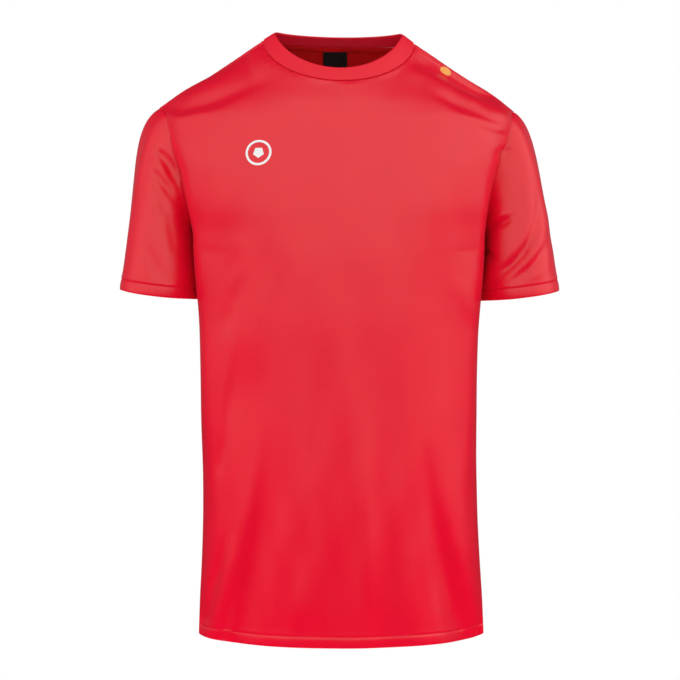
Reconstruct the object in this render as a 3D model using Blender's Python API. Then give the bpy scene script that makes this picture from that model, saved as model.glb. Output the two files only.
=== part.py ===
"""A short-sleeved crew-neck football jersey, filled out as if somebody wore it, and built from the pieces it is sewn from.

Run it with: blender --background --python part.py

The table and every size below are in millimetres, and MM turns them into Blender's metres.
+X is the wearer's left, -Y is the front, +Z is up, and the origin lies between the two points
where the shoulder seams meet the collar. The body is a stack of level rings, each a rounded
outline. The front and back are cut from that stack along the side, armhole and shoulder seams.
Each piece of cloth is a wall: an outer surface, and the same surface moved inwards.
"""

import math

import bpy
import numpy as np

MM = 0.001

# ---- sizes of the cloth ----
CLOTH = 1.2  # thickness of a wall of knitted cloth
SEAM_GAP = 0.3  # clear space that two sewn edges keep between them
HEM_HEIGHT = 12.5  # the turned-up band at the bottom edge and at each cuff
HEM_EXTRA = 0.9  # the turned-up layer makes the wall this much thicker, on its inside

# ---- the body: one row for each level ring ----
# height: of the ring at the sides. right, left: half widths at the side line. soft_right,
# soft_left: how much narrower the ring is in front of and behind the side line, where the
# shoulder is rounded off. front, back: how far the ring reaches from the middle. seam_y: where
# the side line lies. dip: how much the ring's front is below its sides. square: 2 is an ellipse.
COLUMNS = (
    "height", "right", "left", "soft_right", "soft_left", "front", "back", "seam_y", "dip", "square",
)
BODY_ROWS = (
    (-698, 166.5, 169.3, 0.0, 0.0, 117.0, 110.0, 0.0, -3.0, 1.92),
    (-660, 165.3, 167.8, 0.0, 0.0, 119.5, 109.0, 0.0, -1.5, 2.00),
    (-612, 163.0, 164.8, 0.0, 0.0, 121.5, 108.0, 0.0, 0.0, 2.08),
    (-565, 161.6, 162.4, 0.0, 0.0, 123.0, 107.0, 0.0, 0.0, 2.12),
    (-518, 161.4, 161.2, 0.0, 0.0, 124.0, 106.0, 0.0, 0.0, 2.16),
    (-470, 161.9, 160.5, 0.0, 0.0, 125.0, 106.0, 0.0, 0.0, 2.20),
    (-423, 162.4, 160.2, 0.0, 0.0, 126.5, 107.0, 0.0, 0.0, 2.24),
    (-376, 163.0, 160.2, 0.0, 0.0, 128.5, 109.0, 0.0, 0.0, 2.28),
    (-330, 163.4, 160.6, 0.0, 0.0, 130.5, 112.0, 0.0, 0.0, 2.32),
    (-300, 164.0, 161.6, 0.0, 0.0, 131.0, 114.0, 0.0, 0.0, 2.36),
    (-250, 167.5, 165.0, 0.0, 0.0, 131.0, 116.5, 0.0, 0.0, 2.45),
    (-230, 171.0, 168.5, 0.0, 0.0, 130.0, 117.0, 0.5, 0.0, 2.50),
    (-200, 180.5, 176.0, 0.0, 0.0, 128.0, 117.5, 1.0, 0.0, 2.58),
    (-170, 189.5, 183.5, 0.0, 0.0, 124.5, 117.0, 2.0, -1.0, 2.62),
    (-140, 199.0, 192.8, 0.0, 0.0, 119.0, 115.0, 3.0, -4.0, 2.62),
    (-110, 207.0, 201.5, 2.0, 0.0, 111.0, 110.5, 4.0, -10.0, 2.56),
    (-81, 214.0, 205.7, 10.0, 5.0, 102.0, 103.5, 5.0, -18.0, 2.46),
    (-64, 190.0, 184.0, 4.0, 2.5, 96.0, 98.0, 6.0, -25.0, 2.38),
    (-45, 158.0, 155.5, 1.0, 1.0, 89.0, 89.0, 7.0, -33.0, 2.27),
    (-22, 122.5, 120.0, 0.0, 0.0, 79.5, 74.5, 8.0, -43.5, 2.12),
    (0, 90.5, 87.5, 0.0, 0.0, 71.0, 55.0, 8.0, -54.7, 2.00),
)
BODY = {name: np.array(column, float) for name, column in zip(COLUMNS, zip(*BODY_ROWS))}
ROUNDED_BY = 0.3  # the share of a ring's depth over which the rounding comes in
HEM_LEVEL = BODY["height"][0]
ARMPIT_LEVEL = -230.0
SHOULDER_TIP_LEVEL = -81.0
NECK_LEVEL = 0.0
DIP_SHAPE = 1.05  # how the dip grows from the sides to the middle of the front
SHOULDER_LEAN = 2.0  # the wearer's left shoulder hangs this much lower, and the right higher

# ---- the armholes and the shoulder seams ----
ARMHOLE_FRONT = 46.0  # how far the armhole reaches in front of the side line
ARMHOLE_BACK = 48.0  # and behind it
ARMHOLE_SHAPE = 2.2  # 2 is an oval, and more is squarer
SHOULDER_SEAM_FORWARD = 9.0  # at its tip, the shoulder seam is set in front of the shoulder's top
NECK_SEAM_FORWARD = 5.0  # and at the collar

# ---- the sleeves ----
# The cuff is an oval round its centre. cap: the length over which the cloth keeps the shoulder's
# slope after it leaves the shoulder's tip. hang: the straight length above the cuff on the outer
# side. lean: the degrees by which the sleeve spreads downwards.
SLEEVE_COLUMNS = ("side", "cuff_x", "cuff_z", "cuff_tilt", "cap", "hang", "lean")
SLEEVE_ROWS = {
    "sleeve_right": (-1, 212.0, -298.6, 7.4, 44.0, 108.0, 8.5),
    "sleeve_left": (1, 211.0, -300.2, 7.8, 35.0, 104.0, 9.0),
}
CUFF_OUTER_REACH = 45.5  # from the cuff's middle to its outer side
CUFF_INNER_REACH = 50.0  # and to the side that lies against the body
CUFF_HALF_DEPTH = 67.0
CUFF_Y = 2.0
CUFF_FRONT_DROP = 3.0  # the front of the cuff hangs this much lower than its back
CAP_SLOPE = 31.0  # degrees below level in which the cloth leaves the shoulder's tip
UNDER_SLOPE = 80.0  # and the armpit
UNDER_LENGTH = 14.0
SLEEVE_SPLAY = 18.0  # degrees that the cloth leaves the armhole forwards, or backwards
HANG_UNDER = 20.0  # the straight length above the cuff on the inner side
INNER_FLATNESS = 0.72  # 1 is a round inner side, and less lies flatter against the body
SLEEVE_TWIST = 0.15  # how much nearer to the body the sleeve's back lies than its front
BODY_CLEARANCE = 1.2  # between the inner side of a sleeve and the body that it lies against

# ---- the collar, its tape and the label ----
COLLAR_THICKNESS = 2.0  # two layers of knitted rib
COLLAR_PROUD = 0.5  # it stands this much outside the panels
COLLAR_TOP = {"right": 77.0, "left": 73.5, "front": 61.0, "back": 45.0}
COLLAR_TOP_HEIGHTS = {"side": 12.5, "front_dip": -51.0, "back_dip": -1.8}
COLLAR_TOP_SHAPE = 1.2
COLLAR_LEAN = 0.9
TAPE_HEIGHT = 3.6
TAPE_THICKNESS = 1.0
LABEL_WIDTH = 29.0
LABEL_HEIGHT = 42.0
LABEL_OFF_CENTRE = -6.0
LABEL_TOP = -5.2
LABEL_THICKNESS = 1.0
ON_PANEL = 0.4  # clear space between a panel and what is sewn onto it

# ---- how finely the cloth is divided ----
FRONT_COLUMNS = 36
BACK_COLUMNS = 28
SIDE_CROWDING = 0.35  # the columns stand this much closer at the sides, where the folds are
SIDE_PULL = 2.0  # how soon the columns and rows leave the run of the seams for an even spread
MIDDLE_AT_ARMPIT = -262.0  # the level that the armpits' row has in the middle of a panel
MIDDLE_AT_TIP = -52.0  # and the row of the shoulders' tips
BODY_STEPS = 14
ARMHOLE_STEPS = 14
SHOULDER_STEPS = 5
SLEEVE_STEPS = 13
SEAM_FADE = 16.0  # a fold dies away over this distance from a seam

# ---- the largest folds: a row for each ----
# From (x, z) to (x, z) as seen from the front or the back; half_width across; depth is a trough,
# and a negative depth a ridge; bow is how far its middle swings sideways.
FOLD_COLUMNS = ("x0", "z0", "x1", "z1", "half_width", "depth", "bow")
FRONT_FOLDS = (
    (-97, -455, -131, -690, 13, 3.6, 5),
    (-136, -560, -157, -668, 8, 2.4, 0),
    (-116, -500, -146, -690, 9, -1.6, 3),
    (-120, -318, -146, -512, 12, 2.6, -9),
    (98, -450, 153, -690, 13, 3.6, -5),
    (128, -330, 146, -500, 12, 2.0, 6),
    (82, -500, 132, -690, 10, -1.6, -3),
    (2, -425, 6, -600, 16, 1.8, 0),
    (-38, -520, -48, -670, 14, 1.2, 0),
    (52, -510, 66, -665, 14, 1.3, 0),
)
BACK_FOLDS = (
    (-88, -300, -104, -560, 16, 3.4, 6),
    (88, -320, 100, -540, 16, 3.2, -6),
    (-128, -420, -150, -672, 12, 3.0, 0),
    (126, -440, 151, -676, 12, 3.0, 0),
    (-30, -360, -22, -640, 18, 2.4, 4),
    (36, -390, 44, -660, 18, 2.2, -4),
    (-110, -150, -60, -205, 14, 1.8, 6),
    (108, -152, 62, -208, 14, 1.8, -6),
)
SLEEVE_FRONT_FOLDS = {
    "sleeve_right": (
        (-222, -128, -186, -186, 8, 2.0, 6),
        (-223, -152, -190, -196, 7, 1.8, 3),
        (-222, -184, -196, -214, 7, 1.4, 2),
        (-212, -246, -204, -276, 8, 1.2, 0),
    ),
    "sleeve_left": (
        (172, -216, 207, -203, 7, 2.0, 3),
        (176, -275, 232, -192, 8, 2.2, -12),
        (206, -278, 240, -214, 8, 1.4, -8),
        (186, -128, 208, -130, 7, 1.4, 2),
    ),
}
SLEEVE_BACK_FOLDS = {
    "sleeve_right": (
        (-224, -140, -188, -196, 9, 2.2, 5),
        (-232, -196, -184, -262, 9, 2.0, 8),
        (-236, -232, -204, -276, 8, 1.4, 4),
    ),
    "sleeve_left": (
        (218, -138, 184, -194, 9, 2.2, -5),
        (228, -194, 182, -258, 9, 2.0, -8),
        (232, -230, 202, -274, 8, 1.4, -4),
    ),
}


# ---- small tools ----
def eased(share):
    """0 to 1 with no jump in slope at either end."""
    share = np.clip(share, 0.0, 1.0)
    return share * share * (3.0 - 2.0 * share)


def mixed(start, end, share):
    return start + (end - start) * share


def unit(vectors):
    return vectors / np.linalg.norm(vectors, axis=-1, keepdims=True)


def curve_through(xs, ys, at):
    """A smooth curve through the points (xs, ys), read at the given places."""
    slopes = np.gradient(ys, xs)
    at = np.asarray(at, float)
    k = np.clip(np.searchsorted(xs, at) - 1, 0, len(xs) - 2)
    step = xs[k + 1] - xs[k]
    t = (at - xs[k]) / step
    return (
        (1 + 2 * t) * (1 - t) ** 2 * ys[k]
        + t * (1 - t) ** 2 * step * slopes[k]
        + t * t * (3 - 2 * t) * ys[k + 1]
        + t * t * (t - 1) * step * slopes[k + 1]
    )


def ring_value(column, level):
    return curve_through(BODY["height"], BODY[column], level)


def side_width(column, level):
    """Half width at the side line. Its slope turns sharply at the shoulder's tip, so two curves meet there."""
    tip = int(np.argmax(BODY["height"] >= SHOULDER_TIP_LEVEL))
    below = curve_through(BODY["height"][: tip + 1], BODY[column][: tip + 1], level)
    above = curve_through(BODY["height"][tip:], BODY[column][tip:], level)
    return np.where(np.asarray(level) > SHOULDER_TIP_LEVEL, above, below)


# ---- the surface of the body ----
def torso(angle, level):
    """A point of the body. Angle 0 is the wearer's left side, 90 degrees the middle of the front."""
    angle, level = np.broadcast_arrays(np.asarray(angle, float), np.asarray(level, float))
    power = ring_value("square", level)
    cosine, sine = np.cos(angle), np.sin(angle)
    reach = (np.abs(cosine) ** power + np.abs(sine) ** power) ** (-1.0 / power)
    across, out = reach * cosine, reach * sine
    seam_y = ring_value("seam_y", level)
    depth = np.where(
        out > 0, ring_value("front", level) + seam_y, ring_value("back", level) - seam_y
    )
    side = np.where(across > 0, side_width("left", level), side_width("right", level))
    dip = ring_value("dip", level) * np.clip(out, 0.0, 1.0) ** DIP_SHAPE
    soft = np.where(
        across > 0,
        ring_value("left", level) - ring_value("soft_left", level),
        ring_value("right", level) - ring_value("soft_right", level),
    )
    half = mixed(side, soft, eased(np.abs(out) / ROUNDED_BY))
    lean = SHOULDER_LEAN * across * eased((level - ARMPIT_LEVEL) / (SHOULDER_TIP_LEVEL - ARMPIT_LEVEL))
    return np.stack([half * across, seam_y - depth * out, level + dip - lean], axis=-1)


def torso_normals(angle, level):
    """Unit vectors that point out of the body at its points."""
    across = torso(angle - 0.002, level) - torso(angle + 0.002, level)
    return unit(np.cross(across, torso(angle, level + 0.4) - torso(angle, level - 0.4)))


def angle_at(forward, level):
    """The angle at which a ring is this far in front of the side line, or behind it if negative."""
    seam_y, power = ring_value("seam_y", level), ring_value("square", level)
    depth = np.where(
        forward > 0, ring_value("front", level) + seam_y, ring_value("back", level) - seam_y
    )
    share = np.abs(forward) / depth
    return np.arctan2(np.sign(forward) * share, (1.0 - share**power) ** (1.0 / power))


def seam_forward(level, facing):
    """How far the edge of the front (facing 1) or the back (facing -1) is in front of the side line."""
    up = np.clip((level - ARMPIT_LEVEL) / (SHOULDER_TIP_LEVEL - ARMPIT_LEVEL), 0.0, 1.0)
    reach = ARMHOLE_FRONT if facing > 0 else ARMHOLE_BACK
    oval = (1.0 - np.abs(2.0 * up - 1.0) ** ARMHOLE_SHAPE) ** (1.0 / ARMHOLE_SHAPE)
    along = np.clip((level - SHOULDER_TIP_LEVEL) / (NECK_LEVEL - SHOULDER_TIP_LEVEL), 0.0, 1.0)
    forward = mixed(SHOULDER_SEAM_FORWARD, NECK_SEAM_FORWARD, along)
    return facing * (reach * oval + SEAM_GAP / 2) + forward * up * up


def edge_levels():
    """The heights of a panel's rows at its seams, from the hem to the collar."""
    step = HEM_LEVEL + HEM_HEIGHT
    body = np.linspace(step + 0.6, ARMPIT_LEVEL, BODY_STEPS + 1)
    turn = (1.0 - np.cos(np.pi * np.arange(1, ARMHOLE_STEPS + 1) / ARMHOLE_STEPS)) / 2
    armhole = mixed(ARMPIT_LEVEL, SHOULDER_TIP_LEVEL, turn)
    shoulder = np.linspace(SHOULDER_TIP_LEVEL, NECK_LEVEL - TAPE_HEIGHT, SHOULDER_STEPS + 1)[1:]
    return np.concatenate([[HEM_LEVEL, step], body, armhole, shoulder, [NECK_LEVEL]])


def panel_grid(facing, columns):
    """The angles and levels of a panel's points: at the seams they follow the seams' run, and spread evenly between."""
    at_edge = edge_levels()
    armpit, tip = 2 + BODY_STEPS, 2 + BODY_STEPS + ARMHOLE_STEPS
    known = (0, 1, 2, armpit, tip, len(at_edge) - 2, len(at_edge) - 1)
    in_middle = at_edge[list(known)]
    in_middle[3:5] = MIDDLE_AT_ARMPIT, MIDDLE_AT_TIP
    middle = np.interp(np.arange(len(at_edge)), known, in_middle)
    edge = facing * angle_at(seam_forward(at_edge, facing), at_edge)
    share = np.arange(columns // 2 + 1) / (columns // 2)
    pull = (1.0 - share) ** SIDE_PULL
    spread = share - SIDE_CROWDING * np.sin(np.pi * share) / np.pi
    half = edge[:, None] * pull + np.pi / 2 * spread
    angle = np.concatenate([half, np.pi - half[:, -2::-1]], axis=1)
    level = middle[:, None] + (at_edge - middle)[:, None] * pull
    level = np.concatenate([level, level[:, -2::-1]], axis=1)
    return (angle[:, ::-1], level) if facing > 0 else (-angle, level)


# ---- folds ----
def relief(points, folds):
    """How far inwards each point moves for the folds of a table."""
    inwards = np.zeros(points.shape[:-1])
    for row in folds:
        fold = dict(zip(FOLD_COLUMNS, row))
        start = np.array([fold["x0"], fold["z0"]], float)
        run = np.array([fold["x1"], fold["z1"]], float) - start
        length = np.linalg.norm(run)
        away = points[..., [0, 2]] - start
        along = (away @ run) / length**2
        across = (away[..., 0] * run[1] - away[..., 1] * run[0]) / length
        swing = fold["bow"] * 4 * along * (1 - along)
        ends = eased(along / 0.35) * eased((1 - along) / 0.35)
        inwards += fold["depth"] * ends * np.exp(-(((across - swing) / fold["half_width"]) ** 2))
    return inwards


def tube_normals(grid):
    """Unit normals of a tube's grid of points, from their neighbours."""
    across = np.roll(grid, -1, axis=1) - np.roll(grid, 1, axis=1)
    return unit(np.cross(across, np.gradient(grid, axis=0)))


def run_lengths(grid, axis):
    """How far each point of a grid is from the grid's first edge, along its row or column."""
    steps = np.linalg.norm(np.diff(grid, axis=axis), axis=-1)
    pad = [(1, 0), (0, 0)] if axis == 0 else [(0, 0), (1, 0)]
    return np.pad(np.cumsum(steps, axis=axis), pad)


# ---- making objects ----
CLOTH_RED = (0.80, 0.032, 0.052, 1.0)
RIB_RED = (0.81, 0.045, 0.065, 1.0)
LABEL_BLACK = (0.012, 0.012, 0.014, 1.0)


def material(name, colour, roughness):
    made = bpy.data.materials.new(name)
    made.use_nodes = True
    shader = made.node_tree.nodes["Principled BSDF"]
    shader.inputs["Base Color"].default_value = colour
    shader.inputs["Roughness"].default_value = roughness
    shader.inputs["Metallic"].default_value = 0.0
    made.diffuse_color = colour
    return made


def add_object(name, points, faces, finish):
    mesh = bpy.data.meshes.new(name)
    mesh.from_pydata((np.asarray(points) * MM).tolist(), [], faces)
    mesh.validate()
    mesh.shade_smooth()
    mesh.set_sharp_from_angle(angle=math.radians(40))
    mesh.materials.append(finish)
    made = bpy.data.objects.new(name, mesh)
    bpy.context.scene.collection.objects.link(made)
    return made


def two_triangles(a, b, c, d):
    return [(a, b, c), (a, c, d)]


def wall(name, outer, inner, finish, closed=False):
    """A closed wall between two grids of points. The outer one's faces look out of the cloth."""
    rows, columns = outer.shape[:2]
    outside = np.arange(rows * columns).reshape(rows, columns)
    inside = outside + rows * columns
    faces = []
    spans = columns if closed else columns - 1
    for j in range(spans):
        k = (j + 1) % columns
        for i in range(rows - 1):
            faces += two_triangles(outside[i, j], outside[i, k], outside[i + 1, k], outside[i + 1, j])
            faces += two_triangles(inside[i, j], inside[i + 1, j], inside[i + 1, k], inside[i, k])
        faces += two_triangles(outside[0, k], outside[0, j], inside[0, j], inside[0, k])
        faces += two_triangles(outside[-1, j], outside[-1, k], inside[-1, k], inside[-1, j])
    if not closed:
        for i in range(rows - 1):
            faces += two_triangles(outside[i, 0], outside[i + 1, 0], inside[i + 1, 0], inside[i, 0])
            faces += two_triangles(outside[i + 1, -1], outside[i, -1], inside[i, -1], inside[i + 1, -1])
    points = np.concatenate([outer.reshape(-1, 3), inner.reshape(-1, 3)])
    return add_object(name, points, [tuple(int(v) for v in f) for f in faces], finish)


# ---- the front and the back ----
def panel_surface(facing, columns, folds):
    """The outer points of a panel, with its folds, and the normals at them."""
    grid = panel_grid(facing, columns)
    smooth, normals = torso(*grid), torso_normals(*grid)
    along = run_lengths(smooth, axis=1)
    from_side = np.minimum(along, along[:, -1:] - along)
    down = run_lengths(smooth[::-1], axis=0)[::-1]
    fade = eased(from_side / SEAM_FADE) * eased(down / SEAM_FADE)
    return smooth - normals * (relief(smooth, folds) * fade)[..., None], normals


def panel_inside(outer, normals):
    """The inner points of a panel: a cloth's thickness in, and more along the turned-up hem."""
    thickness = np.full(outer.shape[:2], CLOTH)
    thickness[:2] += HEM_EXTRA
    return outer - normals * thickness[..., None]


def panel(name, facing, columns, folds, finish):
    outer, normals = panel_surface(facing, columns, folds)
    inner = panel_inside(outer, normals)
    wall(name, outer, inner, finish)
    return inner, normals


# ---- the sleeves ----
def armhole_ring(side):
    """The seam round one armhole, from the armpit up the front, over the tip and down the back."""
    turn = np.arange(2 * ARMHOLE_STEPS) * np.pi / ARMHOLE_STEPS
    up = (1.0 - np.cos(turn)) / 2
    level = mixed(ARMPIT_LEVEL, SHOULDER_TIP_LEVEL, up)
    front = seam_forward(level, 1)
    back = seam_forward(level, -1)
    forward = np.where(turn <= np.pi, front, back)
    forward[0] = 0.0
    forward[ARMHOLE_STEPS] = SHOULDER_SEAM_FORWARD
    angle = angle_at(forward, level)
    angle = angle if side > 0 else np.pi - angle
    return torso(angle, level), torso_normals(angle, level), turn


def kept_off_body(points, side):
    """A sleeve's points, moved outwards where they would come nearer to the side of the body than they may."""
    out, level = side * points[..., 0], points[..., 2]
    seam_y, power = ring_value("seam_y", level), ring_value("square", level)
    y = points[..., 1] - seam_y
    depth = np.where(y < 0, ring_value("front", level) + seam_y, ring_value("back", level) - seam_y)
    half = side_width("left" if side > 0 else "right", level)
    body = half * (1.0 - np.clip(np.abs(y) / depth, 0.0, 1.0) ** power) ** (1.0 / power)
    from_seam = eased(run_lengths(points, axis=0) / 25.0)
    spare = out - body - BODY_CLEARANCE * from_seam
    kept = out - spare + (spare + np.sqrt(spare**2 + (3.0 * from_seam) ** 2 + 0.0001)) / 2
    kept = mixed(out, kept, eased((-200.0 - level) / 30.0))
    return np.stack([side * kept, points[..., 1], points[..., 2]], axis=-1)


def sleeve_surface(name):
    """The outer points of a sleeve, row by row from the armhole to the cuff, and the normals at them."""
    sizes = dict(zip(SLEEVE_COLUMNS, SLEEVE_ROWS[name]))
    side = sizes["side"]
    start, body_normals, turn = armhole_ring(side)
    low = (1.0 + np.cos(turn)) / 2  # 1 at the armpit, 0 at the shoulder's tip
    forward = np.sin(turn)  # 1 at the front of the armhole, -1 at the back

    slope = np.radians(mixed(CAP_SLOPE, UNDER_SLOPE, low))
    splay = np.radians(SLEEVE_SPLAY) * forward
    leaving = np.stack(
        [side * np.cos(slope) * np.cos(splay), -np.cos(slope) * np.sin(splay), -np.sin(slope)], axis=-1
    )
    tilt = np.radians(sizes["cuff_tilt"])
    outwards = -np.sign(np.cos(turn)) * np.abs(np.cos(turn)) ** np.where(
        np.cos(turn) > 0, INNER_FLATNESS, 1.0
    )
    outwards = outwards * np.where(np.cos(turn) > 0, CUFF_INNER_REACH, CUFF_OUTER_REACH)
    centre = np.array([side * sizes["cuff_x"], CUFF_Y, sizes["cuff_z"]])
    cuff = centre + np.stack(
        [
            side * (outwards * np.cos(tilt) + SLEEVE_TWIST * forward * CUFF_HALF_DEPTH),
            -forward * CUFF_HALF_DEPTH,
            outwards * np.sin(tilt) - CUFF_FRONT_DROP * np.clip(forward, 0.0, 1.0) ** 2,
        ],
        axis=-1,
    )
    lean = np.radians(sizes["lean"])
    up = np.array([-side * np.sin(lean), 0.0, np.cos(lean)])
    hem_top = cuff + up * HEM_HEIGHT
    cap = mixed(sizes["cap"], UNDER_LENGTH, low)
    hang = mixed(sizes["hang"], HANG_UNDER, low)
    round_seam = np.roll(start, -1, axis=0) - np.roll(start, 1, axis=0)
    off_panel = unit(np.cross(round_seam, body_normals)) * side
    p0 = start + unit(mixed(off_panel, body_normals, (low**2)[:, None])) * SEAM_GAP
    p1 = p0 + leaving * cap[:, None]
    p2 = hem_top + up * hang[:, None]
    share = (np.linspace(0.0, 1.0, SLEEVE_STEPS + 1) ** 1.15)[:, None, None]
    smooth = (
        (1 - share) ** 3 * p0
        + 3 * (1 - share) ** 2 * share * p1
        + 3 * (1 - share) * share**2 * p2
        + share**3 * hem_top
    )
    smooth = np.concatenate([smooth, (hem_top - up * 0.6)[None], cuff[None]])[:, ::-side]
    smooth = kept_off_body(smooth, side)
    normals = tube_normals(smooth)
    from_seam = run_lengths(smooth, axis=0)
    at_front = smooth[..., 1] < start[:, 1].mean()
    folds = np.where(
        at_front, relief(smooth, SLEEVE_FRONT_FOLDS[name]), relief(smooth, SLEEVE_BACK_FOLDS[name])
    )
    over_top = eased(np.abs(smooth[..., 1] - start[:, 1].mean()) / SEAM_FADE)
    inwards = folds * eased(from_seam / SEAM_FADE) * over_top
    outer = smooth - normals * inwards[..., None]
    normals = tube_normals(outer)
    # Where the sleeve runs on from the body, both walls end square to the same surface.
    runs_on = eased(np.sum(normals[0] * body_normals[::-side], axis=-1) / 0.7)[:, None]
    for row, share in ((0, 1.0), (1, 0.4)):
        normals[row] = unit(mixed(normals[row], body_normals[::-side], runs_on * share))
    return outer, normals


def sleeve(name, finish):
    outer, normals = sleeve_surface(name)
    thickness = np.full(outer.shape[:2], CLOTH)
    thickness[-2:] += HEM_EXTRA
    inner = outer - normals * thickness[..., None]
    wall(name, outer, inner, finish, closed=True)


# ---- the collar ----
def collar_top(angle):
    """The folded edge of the collar, at the same angles as the neck seam."""
    out = np.sin(angle)
    seam_y = ring_value("seam_y", NECK_LEVEL)
    depth = np.where(out > 0, COLLAR_TOP["front"] + seam_y, COLLAR_TOP["back"] - seam_y)
    side = np.where(np.cos(angle) > 0, COLLAR_TOP["left"], COLLAR_TOP["right"])
    dip = COLLAR_TOP_HEIGHTS["front_dip"] * np.clip(out, 0.0, 1.0) ** COLLAR_TOP_SHAPE
    dip = dip + COLLAR_TOP_HEIGHTS["back_dip"] * np.clip(-out, 0.0, 1.0) ** 2
    height = COLLAR_TOP_HEIGHTS["side"] + dip - COLLAR_LEAN * np.cos(angle)
    return np.stack([side * np.cos(angle), seam_y - depth * out, height], axis=-1)


def collar(finish):
    """A folded band: its section is a flat loop, carried round the neck seam."""
    front = panel_grid(1, FRONT_COLUMNS)[0][-1]
    back = panel_grid(-1, BACK_COLUMNS)[0][-1]
    angle = np.concatenate([front, back[1:-1]])
    seam, top = torso(angle, NECK_LEVEL), collar_top(angle)
    rise = top - seam
    width = np.linalg.norm(rise, axis=-1, keepdims=True)
    rise = rise / width
    round_neck = np.roll(seam, -1, axis=0) - np.roll(seam, 1, axis=0)
    out = unit(np.cross(round_neck, rise))
    half = COLLAR_THICKNESS / 2
    # up: share of the band's width. off: outwards from the middle of its thickness.
    section = ((0.0, half), (0.33, half + 0.3), (0.66, half + 0.3), (0.93, half * 0.9), (1.0, 0.0))
    section += tuple((up, -off) for up, off in section[-2::-1])
    middle = COLLAR_PROUD - half
    loops = [
        seam + rise * (SEAM_GAP + up * (width - SEAM_GAP)) + out * (middle + off) for up, off in section
    ]
    count, around = len(loops), len(angle)
    faces = []
    for i in range(count):
        for j in range(around):
            a, b = i * around + j, i * around + (j + 1) % around
            c, d = ((i + 1) % count) * around + (j + 1) % around, ((i + 1) % count) * around + j
            faces += two_triangles(a, b, c, d)
    add_object("collar", np.concatenate(loops), faces, finish)


# ---- what is sewn inside the back of the neck ----
def neck_tape(inner, normals, finish):
    """A narrow tape over the inside of the back neck seam, made from the back's own top rows."""
    low, high = inner[-2:], inner[-2:]
    facing = normals[-2:]
    near = low - facing * ON_PANEL
    far = high - facing * (ON_PANEL + TAPE_THICKNESS)
    wall("neck_tape", near, far, finish)


def on_grid(inner, normals, x, z):
    """The point of the back's inner surface at x, z, and its normal, found between the four points round it."""
    rows = slice(inner.shape[0] - 7, inner.shape[0])
    heights = inner[rows, inner.shape[1] // 2, 2]
    i = int(np.clip(np.searchsorted(heights, z) - 1, 0, len(heights) - 2))
    v = (z - heights[i]) / (heights[i + 1] - heights[i])
    row = mixed(inner[rows][i], inner[rows][i + 1], v)
    out = mixed(normals[rows][i], normals[rows][i + 1], v)
    j = int(np.clip(np.searchsorted(-row[:, 0], -x) - 1, 0, row.shape[0] - 2))
    u = (x - row[j, 0]) / (row[j + 1, 0] - row[j, 0])
    return mixed(row[j], row[j + 1], u), mixed(out[j], out[j + 1], u)


def neck_label(inner, normals, finish):
    """A woven label below the tape, lying on the back's inner surface."""
    xs = LABEL_OFF_CENTRE - np.linspace(-LABEL_WIDTH / 2, LABEL_WIDTH / 2, 5)
    zs = np.linspace(LABEL_TOP - LABEL_HEIGHT, LABEL_TOP, 6)
    found = [[on_grid(inner, normals, x, z) for x in xs] for z in zs]
    points = np.array([[p for p, _ in row] for row in found])
    out = np.array([[n for _, n in row] for row in found])
    wall("neck_label", points - out * ON_PANEL, points - out * (ON_PANEL + LABEL_THICKNESS), finish)


def build():
    for old in list(bpy.data.objects):
        bpy.data.objects.remove(old)
    cloth = material("jersey_cloth", CLOTH_RED, 0.5)
    rib = material("collar_rib", RIB_RED, 0.6)
    woven = material("label_black", LABEL_BLACK, 0.7)
    panel("front_panel", 1, FRONT_COLUMNS, FRONT_FOLDS, cloth)
    inner, normals = panel("back_panel", -1, BACK_COLUMNS, BACK_FOLDS, cloth)
    for name in SLEEVE_ROWS:
        sleeve(name, cloth)
    collar(rib)
    neck_tape(inner, normals, cloth)
    neck_label(inner, normals, woven)


build()
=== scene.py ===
"""A short-sleeved crew-neck football jersey in glossy red knit, filled out as if worn, with nobody in it.

Sizes are in millimetres unless a line says otherwise, and MM turns them into metres. +X is the
wearer's left, -Y the front, +Z up. The origin lies between the two points where the shoulder
seams meet the collar.
"""

import math

import bpy
import numpy as np
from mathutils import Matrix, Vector
from mathutils.bvhtree import BVHTree


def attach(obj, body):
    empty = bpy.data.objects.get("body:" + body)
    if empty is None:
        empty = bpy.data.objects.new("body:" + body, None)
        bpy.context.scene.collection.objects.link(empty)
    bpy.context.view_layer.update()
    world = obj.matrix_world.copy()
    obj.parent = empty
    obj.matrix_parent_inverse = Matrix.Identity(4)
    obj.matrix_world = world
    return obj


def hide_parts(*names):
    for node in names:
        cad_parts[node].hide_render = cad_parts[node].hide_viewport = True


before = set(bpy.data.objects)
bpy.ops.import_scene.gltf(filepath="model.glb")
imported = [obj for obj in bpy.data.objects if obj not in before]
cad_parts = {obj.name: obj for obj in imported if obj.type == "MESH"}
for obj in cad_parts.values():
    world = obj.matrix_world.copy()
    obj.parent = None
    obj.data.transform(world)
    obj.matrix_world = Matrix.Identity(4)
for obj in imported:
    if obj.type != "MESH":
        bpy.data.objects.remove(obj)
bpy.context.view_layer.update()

# ---- Camera, lights and floor ----
# The jersey is seen from straight in front, at half its height. A dome of soft light stands in front
# of it and over it, dark below its lower edge. The floor is a pale disc far below.
MM = 0.001
VIEW_DISTANCE = 2600.0
VIEW_HEIGHT = -352.8
VIEW_WIDTH = 802.4  # what the picture's width takes in, at the middle of the jersey
SENSOR = 36.0

camera = bpy.data.objects.new("camera", bpy.data.cameras.new("camera"))
camera.data.sensor_width = SENSOR
camera.data.lens = SENSOR * VIEW_DISTANCE / VIEW_WIDTH
camera.data.clip_end = 60.0
camera.location = (0, -VIEW_DISTANCE * MM, VIEW_HEIGHT * MM)
camera.rotation_euler = (math.radians(90), 0, 0)
bpy.context.scene.collection.objects.link(camera)
bpy.context.scene.camera = camera

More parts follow.
